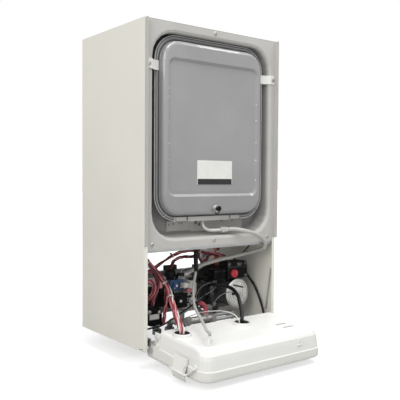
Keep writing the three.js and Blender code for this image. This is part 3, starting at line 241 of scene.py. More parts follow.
# Each row: name, tone, second tone, roughness, cloud, grain and bump.
finish("casing paint", (0.895, 0.89, 0.855), (0.88, 0.875, 0.84), 0.42, 5, 700, 0.03,
       zone=((0.6, 0.6, 0.59), (0.53, 0.53, 0.525), [("|x|", 0.1987, 0.1986), ("y", -0.2986, -0.2985)]))
# The frame's zone is painted shade: a darker tone wherever the frame lies more than 6 to 14 mm behind its front, in the
# recess round the vessel.
finish("frame paint", (0.735, 0.73, 0.715), (0.705, 0.7, 0.685), 0.45, 9, 700, 0.03,
       zone=((0.6, 0.595, 0.585), (0.56, 0.555, 0.545), [("y", -0.294, -0.286)]))
finish("vessel enamel", (0.6, 0.6, 0.605), (0.57, 0.57, 0.575), 0.24, 8, 600, 0.012, spread=0.05, coat=0.6)
# Painted shade: a dark paint for the shade in the vessel flange's grooves and in the gaps round the shelf's hooks.
finish("painted gap shade", (0.3, 0.295, 0.29), (0.24, 0.235, 0.23), 0.5, 60, 1500, 0.04)
finish("tab paint", (0.74, 0.735, 0.72), (0.7, 0.695, 0.68), 0.45, 9, 700, 0.03)
# Weld stains, and the painted shade of punched holes.
finish("weld stain and hole shade", (0.47, 0.465, 0.455), (0.4, 0.395, 0.385), 0.5, 200, 1500, 0.03)
finish("clip plate", (0.9, 0.9, 0.885), (0.84, 0.84, 0.825), 0.4, 40, 900, 0.02)
finish("dark composite", (0.135, 0.135, 0.132), (0.095, 0.095, 0.092), 0.5, 40, 1500, 0.05, shine=0.2)
# Painted highlight: a bright metallic paint for the vessel's rim bead and the glints on its sunk panel.
finish("painted highlight", (0.86, 0.86, 0.85), (0.7, 0.7, 0.7), 0.3, 60, 900, 0.03, metal=0.6)
finish("zinc", (0.78, 0.79, 0.79), (0.7, 0.71, 0.71), 0.36, 45, 400, 0.02, metal=0.85,
       specks=(0.3, (0.5, 0.5, 0.48)))
finish("steel", (0.66, 0.67, 0.68), (0.56, 0.57, 0.58), 0.34, 50, 500, 0.03, metal=0.9)
finish("screw steel", (0.8, 0.8, 0.78), (0.66, 0.66, 0.65), 0.28, 300, 1500, 0.02, metal=0.9)
finish("cast aluminium", (0.8, 0.8, 0.79), (0.7, 0.7, 0.7), 0.42, 70, 1200, 0.08, metal=0.7)
finish("turned aluminium", (0.86, 0.86, 0.85), (0.78, 0.78, 0.78), 0.3, 40, 600, 0.02, metal=0.75)
finish("copper", (0.8, 0.5, 0.36), (0.66, 0.38, 0.26), 0.34, 40, 500, 0.02, metal=0.9,
       specks=(0.35, (0.4, 0.25, 0.18)))
finish("ferrule", (0.8, 0.8, 0.79), (0.72, 0.72, 0.71), 0.45, 60, 900, 0.03, metal=0.4)
finish("white moulding", (0.89, 0.89, 0.88), (0.875, 0.875, 0.865), 0.36, 6, 1800, 0.02, coat=0.1)
finish("fascia moulding", (0.885, 0.885, 0.865), (0.87, 0.87, 0.85), 0.42, 6, 1800, 0.02)
finish("black moulding", (0.07, 0.07, 0.072), (0.045, 0.045, 0.047), 0.45, 25, 1800, 0.05, shine=0.12)
finish("dark can", (0.35, 0.35, 0.355), (0.25, 0.25, 0.255), 0.26, 40, 1500, 0.06, metal=0.2, coat=0.5)
finish("grey moulding", (0.42, 0.425, 0.43), (0.38, 0.385, 0.39), 0.5, 20, 1800, 0.03)
finish("blue moulding", (0.2, 0.35, 0.52), (0.14, 0.26, 0.42), 0.4, 30, 1800, 0.03)
finish("red moulding", (0.85, 0.29, 0.34), (0.78, 0.23, 0.28), 0.36, 30, 1800, 0.03)
finish("rose moulding", (0.87, 0.43, 0.47), (0.8, 0.35, 0.39), 0.36, 30, 1800, 0.03)
finish("pink connector", (0.8, 0.54, 0.56), (0.72, 0.45, 0.47), 0.45, 60, 1800, 0.03)
finish("bare plate", (0.9, 0.9, 0.885), (0.87, 0.87, 0.855), 0.5, 60, 1500, 0.01)
finish("dark plate", (0.13, 0.13, 0.135), (0.1, 0.1, 0.105), 0.5, 60, 1500, 0.01)
finish("rubber", (0.105, 0.105, 0.105), (0.075, 0.075, 0.075), 0.6, 60, 1500, 0.06)
finish("circuit board", (0.16, 0.42, 0.27), (0.12, 0.34, 0.22), 0.45, 120, 900, 0.02)
finish("black sheath", (0.075, 0.075, 0.08), (0.05, 0.05, 0.055), 0.42, 90, 1600, 0.03, shine=0.25)
finish("grey sheath", (0.72, 0.715, 0.7), (0.66, 0.655, 0.64), 0.45, 90, 1600, 0.03)
finish("grey wire", (0.5, 0.5, 0.49), (0.42, 0.42, 0.41), 0.45, 90, 1600, 0.03)
finish("white sheath", (0.88, 0.88, 0.87), (0.8, 0.8, 0.79), 0.45, 90, 1600, 0.03)
finish("red wire", (0.58, 0.25, 0.29), (0.47, 0.18, 0.22), 0.42, 120, 1600, 0.03)
finish("pink wire", (0.86, 0.58, 0.6), (0.78, 0.46, 0.49), 0.42, 120, 1600, 0.03)
finish("dark red wire", (0.36, 0.13, 0.16), (0.27, 0.09, 0.11), 0.42, 120, 1600, 0.03)
finish("cable tie", (0.86, 0.86, 0.83), (0.8, 0.8, 0.77), 0.45, 120, 1600, 0.02)
finish("dial face", (0.93, 0.93, 0.92), (0.9, 0.9, 0.89), 0.4, 80, 1500, 0.01)


def braided():
    """Fine crossed strands that follow the hose: two sets of diagonal waves on its own map."""
    paint = finish("braided hose", (0.8, 0.795, 0.775), (0.73, 0.725, 0.705), 0.5, 30, 900, 0.05, by_route=True)
    gap_tone, worn_tone = (0.5, 0.495, 0.48), (0.82, 0.815, 0.8)
    worn = 0.15
    tree = paint.node_tree
    route = node(tree, "TexCoord").outputs["UV"]
    waves = []
    for lean in (38, -38):
        turn = node(tree, "Mapping", {"Vector": route, "Rotation": (0, 0, radians(lean)), "Scale": (34, 900, 1)})
        waves.append(node(tree, "TexWave", {"Vector": turn.outputs[0], "Scale": 0.5}).outputs["Fac"])
    strands = maths(tree, "MAXIMUM", *waves)
    feed(tree, tree.nodes["Bump"], {"Strength": 0.6, "Distance": 0.25 * MM, "Height": strands})
    shader = tree.nodes["Principled BSDF"]
    colour = mixed(tree, strands, linear(gap_tone), shader.inputs["Base Color"].links[0].from_socket)
    feed(tree, shader, {"Base Color": mixed(tree, worn, colour, linear(worn_tone))})


braided()

for look, names in (
        ("casing paint", "left_side_panel right_side_panel top_panel"),
        ("frame paint", "chamber_front_panel"),
        ("tab paint", "vessel_shelf"),
        ("ferrule", "vessel_elbow"),
        ("vessel enamel", "vessel_front_shell vessel_rear_shell"),
        ("clip plate", "vessel_clip_left vessel_clip_right"),
        ("zinc", "rear_wall hanging_rail rear_cross_rail chamber_floor stay_rod hinge_bracket_left "
                 "hinge_bracket_right"),
        ("steel", "burner combustion_chamber flue_hood plate_heat_exchanger"),
        ("copper", "heat_exchanger pump_to_exchanger_pipe exchanger_to_diverter_pipe"),
        ("cast aluminium", "fan_housing flue_collar gas_valve_body fan_wheel water_inlet_group"),
        ("turned aluminium", "pump_face"),
        ("dark composite", "diverter_valve_body air_vent_cap"),
        ("white moulding", "box_cover cable_boot"),
        ("fascia moulding", "box_fascia box_latch"),
        ("black moulding", "fan_motor gas_valve_solenoid pump_terminal_box diverter_motor charging_valve_cap "
                           "pressure_gauge"),
        ("dark can", "pump_motor pump_volute"),
        ("grey moulding", "water_temperature_knob heating_temperature_knob reset_button"),
        ("blue moulding", "gas_valve_coil"),
        ("red moulding", "pump_speed_knob"),
        ("rose moulding", "relief_valve_cap"),
        ("rubber", "gland_left gland_right"),
        ("circuit board", "circuit_board")):
    for name in names.split():
        mesh = nodes[name].data
        mesh.materials.clear()
        mesh.materials.append(FINISH[look])


# ---------- bench tools
def clear():
    if bpy.context.mode != "OBJECT":
        bpy.ops.object.mode_set(mode="OBJECT")
    bpy.ops.object.select_all(action="DESELECT")


def only(piece):
    clear()
    piece.select_set(True)
    bpy.context.view_layer.objects.active = piece


def shape(piece):
    """Opens a piece for editing, with its placing applied and all of it selected."""
    only(piece)
    bpy.ops.object.transform_apply(location=True, rotation=True, scale=True)
    bpy.ops.object.mode_set(mode="EDIT")
    bpy.ops.mesh.select_mode(type="FACE")
    bpy.ops.mesh.select_all(action="SELECT")


def choose_ends(axis, both=False):
    """Selects the faces that look along the axis, or against it as well."""
    bpy.ops.mesh.select_all(action="DESELECT")
    mesh = bmesh.from_edit_mesh(bpy.context.object.data)
    for face in mesh.faces:
        along = face.normal.dot(Vector(axis))
        face.select = (abs(along) if both else along) > 0.9
    mesh.select_flush(True)
    bmesh.update_edit_mesh(bpy.context.object.data)


def slab(low, high, bevel=0.6, segments=2):
    """A block between two corners with softened edges."""
    clear()
    middle = [(a + b) / 2 * MM for a, b in zip(low, high)]
    size = [abs(b - a) * MM for a, b in zip(low, high)]
    bpy.ops.mesh.primitive_cube_add(size=1, location=middle, scale=size)
    piece = bpy.context.object
    shape(piece)
    if bevel:
        bpy.ops.mesh.bevel(offset=bevel * MM, segments=segments, profile=0.5)
    clear()
    return piece


def disc(start, end, radius, bevel=0.5, sides=32):
    """A round bar between two points with softened rims."""
    clear()
    a, b = Vector(start) * MM, Vector(end) * MM
    bpy.ops.mesh.primitive_cylinder_add(
        vertices=sides, radius=radius * MM, depth=(b - a).length, location=(a + b) / 2,
        rotation=(b - a).to_track_quat("Z", "Y").to_euler())
    piece = bpy.context.object
    shape(piece)
    if bevel:
        choose_ends((b - a).normalized(), both=True)
        bpy.ops.mesh.bevel(offset=bevel * MM, segments=2, profile=0.5)
    clear()
    return piece


def facing(place, normal, lean=0.0):
    """Where a piece modelled at the origin, looking along +Z, goes: on this point, looking along this normal."""
    turn = Vector(normal).to_track_quat("Z", "Y").to_matrix().to_4x4()
    return Matrix.Translation(Vector(place) * MM) @ turn @ Matrix.Rotation(radians(lean), 4, "Z")


def flat_plate(width, height, corner, thick, place, normal, lean=0.0):
    """A thin plate with rounded corners: its back at the place, facing along the normal."""
    clear()
    bpy.ops.mesh.primitive_plane_add(size=1)
    piece = bpy.context.object
    piece.scale = (width * MM, height * MM, 1)
    shape(piece)
    bpy.ops.mesh.bevel(offset=corner * MM, segments=5, affect="VERTICES")
    bpy.ops.mesh.select_all(action="SELECT")
    bpy.ops.mesh.extrude_region_move(TRANSFORM_OT_translate={"value": (0, 0, thick * MM)})
    bpy.ops.mesh.select_all(action="SELECT")
    bpy.ops.mesh.remove_doubles(threshold=1e-6)
    bpy.ops.mesh.normals_make_consistent(inside=False)
    clear()
    piece.data.transform(facing(place, normal, lean))
    return piece


def ring(place, normal, radius, thickness, sides=36):
    """A round bead, such as a grommet or a moulded rim."""
    clear()
    bpy.ops.mesh.primitive_torus_add(
        major_radius=radius * MM, minor_radius=thickness * MM, major_segments=sides, minor_segments=10)
    piece = bpy.context.object
    shape(piece)
    clear()
    piece.data.transform(facing(place, normal))
    return piece


def rim_bead(half, low, high, corner, radius):
    """A round bead that follows a rounded rectangle, lying flat, centred on x = 0."""
    clear()
    bpy.ops.mesh.primitive_plane_add(size=1, location=(0, (low + high) / 2 * MM, 0))
    piece = bpy.context.object
    piece.scale = (2 * half * MM, (high - low) * MM, 1)
    shape(piece)
    bpy.ops.mesh.bevel(offset=corner * MM, segments=10, affect="VERTICES")
    bpy.ops.mesh.select_all(action="SELECT")
    bpy.ops.mesh.delete(type="ONLY_FACE")
    only(piece)
    bpy.ops.object.convert(target="CURVE")
    piece = bpy.context.object
    piece.data.bevel_depth = radius * MM
    piece.data.bevel_resolution = 2
    bpy.ops.object.convert(target="MESH")
    return bpy.context.object


def fuse(pieces):
    clear()
    for piece in pieces:
        piece.select_set(True)
    bpy.context.view_layer.objects.active = pieces[0]
    bpy.ops.object.join()
    return bpy.context.object


def carve(piece, tool):
    """Cuts the tool's shape out of the piece."""
    only(piece)
    cut = piece.modifiers.new("cut", "BOOLEAN")
    cut.operation = "DIFFERENCE"
    cut.object = tool
    bpy.ops.object.modifier_apply(modifier=cut.name)
    bpy.data.objects.remove(tool)


def settle(pieces, name, look, body="casing"):
    """Joins finished pieces under a name, brings them into the row's frame and fixes them to their body."""
    piece = fuse(pieces) if isinstance(pieces, list) else pieces
    only(piece)
    bpy.ops.object.transform_apply(location=True, rotation=True, scale=True)
    bpy.ops.object.shade_smooth_by_angle(angle=radians(35))
    piece.data.transform(CASING if body in ("casing", "air_vent_cap") else BOX)
    piece.name = name
    piece.data.name = name
    piece.data.materials.clear()
    piece.data.materials.append(FINISH[look])
    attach(piece, body)


def screw_head(radius=4.0, height=1.8):
    """A pan head with a cross recess, on a thin washer."""
    head = disc((0, 0, 0), (0, 0, height), radius, bevel=0, sides=20)
    shape(head)
    choose_ends(UP)
    bpy.ops.mesh.bevel(offset=height * 0.55 * MM, segments=3, profile=0.5)
    clear()
    long, short, bottom, over = radius * 0.575, radius * 0.13, height * 0.35, height + 1
    for x, y in ((long, short), (short, long)):
        carve(head, slab((-x, -y, bottom), (x, y, over), 0))
    return fuse([head, disc((0, 0, -0.1), (0, 0, 0.5), radius * 1.3, bevel=0.15, sides=20)])


def hex_head(radius=5.0, height=3.2):
    """A bolt's head with a raised face, on a thin washer."""
    head = disc((0, 0, 0), (0, 0, height), radius, bevel=0, sides=6)
    shape(head)
    choose_ends(UP)
    bpy.ops.mesh.inset(thickness=radius * 0.1 * MM)
    bpy.ops.transform.translate(value=(0, 0, 0.4 * MM))
    clear()
    return fuse([head, disc((0, 0, -0.1), (0, 0, 0.6), radius * 1.25, bevel=0.15, sides=20)])


SCREW, BOLT = screw_head(), hex_head()


def fasteners(name, pattern, normal, spots, body="casing", look="screw steel"):
    """Copies of one fastener at the spots, looking along the normal, or along what it gives for each spot."""
    copies = []
    for i, spot in enumerate(spots):
        twin = pattern.copy()
        twin.data = pattern.data.copy()
        bpy.context.collection.objects.link(twin)
        twin.data.transform(facing(spot, normal(spot) if callable(normal) else normal, 17 + 41 * i))
        copies.append(twin)
    settle(copies, name, look, body)


# ---------- cords
def smooth_route(points, count):
    """Centripetal spline through the route's points, like the one the solids follow, in even steps."""
    pts = [Vector(p) for p in points]
    pts = [pts[0] * 2 - pts[1]] + pts + [pts[-1] * 2 - pts[-2]]
    spans = len(pts) - 3
    out = []
    for i in range(count + 1):
        s = min(i * spans / count, spans - 1e-6)
        k = int(s)
        w = s - k
        p0, p1, p2, p3 = pts[k:k + 4]
        d0, d1, d2 = (max((b - a).length ** 0.5, 1e-4) for a, b in ((p0, p1), (p1, p2), (p2, p3)))
        m1 = ((p1 - p0) / d0 - (p2 - p0) / (d0 + d1) + (p2 - p1) / d1) * d1
        m2 = ((p2 - p1) / d1 - (p3 - p1) / (d1 + d2) + (p3 - p2) / d2) * d1
        w2, w3 = w * w, w * w * w
        out.append(p1 * (2 * w3 - 3 * w2 + 1) + m1 * (w3 - 2 * w2 + w) + p2 * (3 * w2 - 2 * w3)
                   + m2 * (w3 - w2))
    even = [out[0]]
    step = left = sum((b - a).length for a, b in zip(out, out[1:])) / count
    for a, b in zip(out, out[1:]):
        run = (b - a).length
        while run >= left and len(even) < count:
            a = a + (b - a) * (left / run)
            even.append(a)
            run -= left
            left = step
        left -= run
    even.append(out[-1])
    return even


def frames_along(line):
    """For each point of a line: the point, and two directions across it that don't twist."""
    tangents = [(line[min(i + 1, len(line) - 1)] - line[max(i - 1, 0)]).normalized() for i in range(len(line))]
    across = tangents[0].orthogonal().normalized()
    out = []
    for point, tangent in zip(line, tangents):
        across = (across - tangent * across.dot(tangent)).normalized()
        out.append((point, across, tangent.cross(across)))
    return out


def tube(name, line, radius, sides, look, tapers=lambda t: 1):
    """A round tube along a line, with its own map: once round it, and its length in metres along it."""
    mesh = bmesh.new()
    uv = mesh.loops.layers.uv.new("UVMap")
    rings, run, length = [], 0.0, []
    for i, (point, u, v) in enumerate(frames_along(line)):
        if i:
            run += (line[i] - line[i - 1]).length * MM
        length.append(run)
        r = tapers(i / (len(line) - 1)) * radius
        rings.append([mesh.verts.new((point + (u * cos(t) + v * sin(t)) * r) * MM)
                      for t in (2 * pi * k / sides for k in range(sides))])
    for i in range(len(rings) - 1):
        for k in range(sides):
            n = (k + 1) % sides
            face = mesh.faces.new((rings[i][k], rings[i][n], rings[i + 1][n], rings[i + 1][k]))
            face.smooth = True
            for loop, at in zip(face.loops, ((k, i), (k + 1, i), (k + 1, i + 1), (k, i + 1))):
                loop[uv].uv = (at[0] / sides, length[at[1]])
    mesh.faces.new(list(reversed(rings[0])))
    mesh.faces.new(rings[-1])
    bmesh.ops.recalc_face_normals(mesh, faces=mesh.faces)
    data = bpy.data.meshes.new(name)
    mesh.to_mesh(data)
    mesh.free()
    data.materials.append(FINISH[look])
    piece = bpy.data.objects.new(name, data)
    bpy.context.collection.objects.link(piece)
    return piece


def lay_cord(piece, name, line, diameter, slot, stiffness="medium", lay="loose", stands_for=(), hinge=None, extra=()):
    """Brings a cord that runs from the object back to the object into the casing's frame, names it, and hides the parts
    that it stands for; it is fixed to the casing, or has its placing baked in where hinge points are given.
    """
    for mesh in [piece, *extra]:
        mesh.data.transform(CASING)
        if hinge:
            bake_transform(mesh)
        else:
            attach(mesh, "casing")
    piece.name = name
    piece.data.name = name
    if stands_for:
        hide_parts(*stands_for)


def plain_cord(name, points, radius, paint, slot, count, sides=8, **laid):
    """One round cable along its route, sheathed in one finish."""
    line = smooth_route(points, count)
    lay_cord(tube(name, line, radius, sides, paint), name, line, 2 * radius, slot, **laid)


WIRES = {"r": "red wire", "d": "dark red wire", "p": "pink wire", "w": "white sheath"}


def wire_cord(name, points, spread, wires, count, twist, start, **laid):
    """Single wires wound loosely round one route. Each wire is a letter of WIRES and its radius."""
    line = smooth_route(points, count)
    rings = frames_along(line)
    wires = wires.split()
    strands = []
    for w, wire in enumerate(wires):
        radius = float(wire[1:])
        reach = 0 if w == 0 and len(wires) > 5 else spread - radius
        path = []
        for i, (point, u, v) in enumerate(rings):
            t = i / (len(rings) - 1)
            ease = min(1, 8 * t, 8 * (1 - t))
            turn = (2 * pi * w / len(wires) + start + twist * t * pi
                    + 0.5 * sin(5 * t * pi + 1.7 * w + start))
            r = reach * (0.72 + 0.28 * ease * sin(7 * t + 2.1 * w + start) ** 2)
            path.append(point + (u * cos(turn) + v * sin(turn)) * r)
        strands.append(tube(f"{name}_wire_{w}", path, radius, 8, WIRES[wire[0]]))
    lay_cord(fuse(strands), name, line, 2 * spread, "harness", **laid)


def from_box(x, y, z):
    """A point of the control box's frame in the casing's frame."""
    return (x, BOX_HINGE[0] + y * cos(BOX_LEAN) - z * sin(BOX_LEAN),
            BOX_HINGE[1] + y * sin(BOX_LEAN) + z * cos(BOX_LEAN))


LEFT_GLAND, RIGHT_GLAND, GLAND_Y = -146, 28, -73
BOOT_X, BOOT_Y = -137, -158


def gland_top(x, rise):
    return from_box(x, GLAND_Y, 43.3 + rise)


hose_line = smooth_route([
    (40, 10, 263), (48, 10, 263), (62, 4, 264), (82, -6, 261), (106, -11, 255), (131, -11, 247), (150, -8, 237),
    (163, -4, 224), (169, 5, 212), (168, 20, 205), (159, 40, 198), (144, 57, 191), (106, 64, 185), (67, 68, 180),
    (14, 76, 168), (-8, 80, 158), (-24, 82, 150), (-33, 82, 150)
], 130)
hose = tube("vessel_hose_braid", hose_line, 4.9, 20, "braided hose")
sleeves = [tube(f"hose_sleeve_{start}", hose_line[start:end + 1], 5.7, 20, "ferrule",
                lambda t: 1 - 0.07 * (abs(2 * t - 1) > 0.86) + 0.05 * sin(t * pi * 5) ** 2)
           for start, end in ((0, 3), (124, 130))]
lay_cord(hose, "vessel_hose_braid", hose_line, 9.8, "hose", stiffness="stiff", lay="hanging",
         stands_for=["vessel_hose"], extra=sleeves)

wire_cord("red_harness_wires", [
    (-176, 56, 225.5), (-176, 56, 216), (-171, 60, 207), (-154, 68, 195), (-121, 77, 166), (-100, 63, 134),
    (-103, 38, 108), (-115, 4, 85), (-131, -36, 66), gland_top(LEFT_GLAND, 8), gland_top(LEFT_GLAND, 0)
], 8, "r2.3 p2.2 w1.9 r2.2 r2.1 p2.1 r2.2 d1.9 p2.0 w1.9 r2.0", 100, 1.7, 0.4, stands_for=["red_harness"],
    hinge=((-100, 60, 132), (-142, -60, 56)))
wire_cord("red_harness_hook", [
    (-174, 56, 210), (-177, 54, 186), (-175, 53, 164), (-163, 53, 149), (-149, 53, 147), (-139, 54, 138),
    (-138, 58, 121), (-141, 68, 105), (-143, 78, 98), (-143, 80, 94), (-143, 80, 90.3)
], 6, "r1.9 r1.9 p1.8 d1.9 r1.8 p1.7 r1.9 p1.7", 80, 2.0, 1.3)
wire_cord("red_harness_branch", [
    (-158, 78, 170), (-147.7, 75, 168), (-136.5, 75, 168), (-124, 75, 161), (-116.5, 75, 144.6),
    (-117, 75, 121), (-122, 75, 104), (-127, 76, 94), (-127, 78, 86), (-127, 79, 83)
], 5, "r1.8 d1.8 p1.7 r1.8 p1.6 r1.7", 80, 1.7, 0.7)
wire_cord("red_harness_drop", [
    (-101, 63, 136), (-99, 62, 122), (-100, 62, 103), (-100, 62, 82), (-102, 63, 62), (-103, 65, 50),
    (-103, 66, 42.5), (-103, 69.7, 42.5)
], 5, "r1.8 p1.7 d1.8 r1.7 p1.6", 60, 1.6, 2.2)
wire_cord("upper_harness_wires", [
    (-140, 134, 118.3), (-140, 134, 129), (-128, 122, 148), (-108, 108, 166), (-82, 96, 184), (-52, 92, 200),
    (-20, 90, 206), (10, 89, 205), (44, 88, 198), (76, 87, 191), (102, 82, 183), (102, 82, 172.3)
], 5, "r1.5 d1.4 r1.5 p1.3 d1.5 r1.4 p1.3", 100, 3.4, 1.1, stands_for=["upper_harness"])
wire_cord("upper_harness_loop", [
    (52, 84, 225.5), (52, 84, 216), (64, 84, 212), (75, 84, 204), (80, 85, 196), (78, 87, 190)
], 4.2, "d1.5 r1.4 p1.4 r1.5 p1.3", 60, 2.0, 0.2)
wire_cord("upper_harness_slack", [
    (22, 90, 204), (15, 92, 193), (0, 94, 190), (-18, 95, 191), (-36, 97, 190), (-48, 101, 183), (-53, 106, 171),
    (-53, 110, 162), (-53, 112, 156)
], 4.6, "d1.7 r1.7 d1.6 p1.4 r1.6", 80, 3.0, 2.6)
wire_cord("upper_harness_tangle", [
    (12, 86, 225.5), (14, 86, 216), (19, 87, 206), (18, 87, 195), (21, 87, 184), (32, 87, 177), (43, 87, 180),
    (48, 87, 188), (56, 87, 192)
], 4, "d1.5 d1.5 r1.4 d1.4 p1.3", 70, 2.6, 1.9)

grey_line = smooth_route([
    (-12.6, 58, 225.5), (-12.6, 58, 208.5), (-13, 58, 186), (-12.6, 58, 160.6), (-20, 56, 129), (-26, 50, 104.4),
    (-39, 30, 87), (-82, -42, 80), (-112, -102, 72), (-132, -142, 66), from_box(BOOT_X, BOOT_Y, 68.6),
    from_box(BOOT_X, BOOT_Y, 61.6)
], 100)
grey = tube("grey_cable_sheath", grey_line, 3.2, 14, "grey sheath")
grey_sleeve = tube("grey_cable_sleeve", grey_line[:19], 5.6, 14, "black sheath", lambda t: 1 if t < 0.94 else 0.86)
lay_cord(grey, "grey_cable_sheath", grey_line, 6.4, "cable_grey", stands_for=["grey_cable"],
         hinge=((-13, 58, 200), (-120, -120, 48)), extra=[grey_sleeve])
plain_cord("pump_sensor_cable_sheath", [
    gland_top(RIGHT_GLAND, 0), gland_top(RIGHT_GLAND, 8), (36, -60, 67), (49, -38, 87), (62, -12, 104),
    (68, 18, 114), (60, 42, 119), (48, 64, 119), (46, 88, 118), (54, 116, 119), (64, 134, 120),
    (66, 139, 120), (66, 144.7, 120)
], 4.5, "black sheath", "cable_black", 90, 16, stands_for=["pump_sensor_cable"], hinge=((48, 66, 119), (36, -62, 64)))
plain_cord("mains_cable_sheath", [
    (-182, 64, 1.5), (-182, 64, 10), (-181, 56, 24), (-172, 55, 32), (-150, 55, 36), (-118, 55, 38),
    (-70, 55.5, 56), (-19, 57, 78), (14, 61, 91), (27, 70, 104), (34, 80, 118), (39, 87, 130), (46, 88, 135),
    (52.7, 88, 135)
], 2.2, "black sheath", "cable_black", 90, 10, stands_for=["mains_cable"])
plain_cord("pump_cable_sheath", [
    (159.3, 78, 140), (165, 78, 140), (175, 73, 128), (186, 63, 106), (189, 48, 80), (184, 30, 58),
    (176, 14, 42), (168, 2, 34), (164, -4, 31), (164, -8, 31)
], 3.2, "black sheath", "cable_black", 60, 12, stands_for=["pump_cable"], hinge=((187, 40, 70), (165, -3, 32)))
plain_cord("white_sensor_wire", [
    gland_top(20, 0), gland_top(20, 5), (22, -56, 62.5), (25, -38, 65.5), (25, -18, 66), (23, 2, 65),
    (16, 22, 62), (4, 42, 58), (-8, 56, 53.5), (-18, 63, 49), (-22, 68, 46), (-22, 71, 43.5)
], 1.3, "white sheath", "harness", 70, hinge=((-12, 58, 52), (24, -40, 64)))
plain_cord("fan_supply_wire", [
    (150, 42, 225.5), (149, 43, 214), (147, 56, 200), (141, 72, 187), (134, 82, 179), (134, 82, 172.3)
], 2.1, "dark red wire", "harness", 50)
plain_cord("valve_sense_wire", [
    (2, 79.6, 96), (3, 74, 98), (8, 72, 108), (18, 70, 117), (36, 69, 122), (52, 73, 123), (60, 78, 124),
    (60, 80, 127.7)
], 1.1, "grey wire", "harness", 60)
plain_cord("flow_sense_wire", [
    (-6, 79.6, 80), (-4, 72, 79), (7, 67, 86), (23, 66, 94), (48, 66, 104), (62, 70, 112), (70, 78, 120),
    (70, 82, 127.7)
], 1.1, "grey wire", "harness", 60)
plain_cord("pressure_wire", [
    (49, 74, 42.3), (49, 72, 52), (49, 62, 68), (50, 57, 78), (56, 53, 87), (67, 51, 93), (80, 51, 96),
    (96, 52, 96), (108, 54, 92), (110, 57.6, 90)
], 1.2, "grey wire", "harness", 60)


# ---------- small parts of the casing and the vessel
def circle(x, y, radius, angles):
    return [(x + radius * cos(a), y + radius * sin(a)) for a in angles]


def even_angles(count):
    return [2 * pi * k / count for k in range(count)]


def dents(spots, radius, depth=0.5):
    """Small dark discs on the shelf's back at (x, z): weld marks, and painted shade standing for punched holes."""
    back = 45.1
    return [disc((x, back, z), (x, back - depth, z), radius, 0.15, 16) for x, z in spots]


def strap(point, along, radius):
    """A cable tie: a flat band round a bundle, with its small lock."""
    point, along = Vector(point), Vector(along).normalized()
    clear()
    bpy.ops.mesh.primitive_torus_add(
        major_radius=radius * MM, minor_radius=0.5 * MM, major_segments=20, minor_segments=6, location=point * MM,
        rotation=along.to_track_quat("Z", "Y").to_euler())
    band = bpy.context.object
    band.scale = (1, 1, 2.6)
    only(band)
    bpy.ops.object.transform_apply(location=True, rotation=True, scale=True)
    lock, half = point + along.orthogonal().normalized() * (radius + 1), Vector((2, 2, 2))
    return fuse([band, slab(lock - half, lock + half, 0.5)])


settle(flat_plate(107, 57.5, 2.5, 0.4, (2.4, 4.45, 402.6), FRONT), "vessel_label_plate", "bare plate")
settle(flat_plate(104.6, 13.4, 1.2, 0.25, (2.4, 4.05, 380.7), FRONT), "vessel_label_band", "dark plate")

# Beads that follow the vessel's outline, each this far in from its edge and this deep behind its front.
VESSEL_HALF, VESSEL_FOOT, VESSEL_TOP, VESSEL_CORNER = 164, 289, 716.5, 60
for name, inset, depth, radius, look in (
        # The rim bead is a painted highlight along the flange's outer edge.
        ("vessel_rim_highlight", 0.5, 16.6, 0.9, "painted highlight"),
        ("vessel_flange_bead", 5.8, 16, 1.7, "vessel enamel"),
        # The two dark beads are painted shade in the flange's grooves: one near its outer edge, one at the wall's foot.
        ("vessel_seam_shade_line", 3, 16, 0.8, "painted gap shade"),
        ("vessel_seam_foot_shade", 10.4, 15.6, 1.8, "painted gap shade")):
    bead = rim_bead(VESSEL_HALF - inset, VESSEL_FOOT + inset, VESSEL_TOP - inset, VESSEL_CORNER - inset, radius)
    bead.data.transform(Matrix.Translation((0, depth * MM, 0)) @ Matrix.Rotation(radians(90), 4, "X"))
    settle(bead, name, look)

# Painted highlights: small bright discs on the sunk panel's sloping edges, for the glints of small dents.
marks = []
for side, heights in ((-1, (592, 574, 517, 468, 430)), (1, (575, 535, 480, 435, 385))):
    outward = Vector((-side * 0.54, -0.84, 0))
    for k, z in enumerate(heights):
        spot = Vector((side * 133.2, 2.35, z))
        marks.append(disc(spot - outward * 0.3, spot + outward * 0.45, 1.6 + 0.5 * (k % 2), 0.1, 14))
settle(marks, "vessel_dent_highlights", "painted highlight")

nut = hex_head(7.2, 4.5)
nut.data.transform(facing((0, -3, 317), FRONT, 12))
settle(nut, "charging_valve_nut", "screw steel")
tether_line = smooth_route([(0.5, -16, 311), (-1, -14, 306), (-2.2, -9, 304.5), (-2, -4, 306.5), (-1, -1.5, 310)], 24)
settle(tube("valve_cap_tether", tether_line, 1.5, 8, "rubber"), "valve_cap_tether", "rubber")

settle([flat_plate(170, 29, 12, 1, (40, 46.1, 273.6), FRONT), flat_plate(66, 16, 3, 1, (-77, 46.1, 279.9), FRONT)],
       "shelf_back_plate", "tab paint")
# The punched holes are dark discs of painted shade.
settle(dents([(-104, 278), (-90.9, 280), (-74, 281.4), (-66, 280.4), (58.7, 281.8), (92, 281.5)], 2.1),
       "shelf_hole_shade", "weld stain and hole shade")
# Dark slabs of painted shade in the gaps round the shelf's hooks.
settle([slab((x, 13.9, 287.6), (x + 1.1, 14.3, 300.6), 0.1) for x in (-105.5, -71.6, 59.2, 89.6)]
       + [slab((x, 13.9, 287.3), (x + w, 14.3, 288.2), 0.1) for x, w in ((-105, 33), (59.5, 30))],
       "shelf_hook_gap_shade", "painted gap shade")
settle(dents([(-24, 281), (-13, 276), (-3, 270)], 4.2, 0.3), "shelf_weld_marks", "weld stain and hole shade")

fasteners("frame_screws", SCREW, FRONT, [(-1, 2, 733.6), (-178.6, 2, 239.2), (-0.9, 2, 240.3), (174.4, 2, 239.4)])
fasteners("clip_screws", SCREW, FRONT, [(side * 188, 0.3, 642) for side in SIDES])
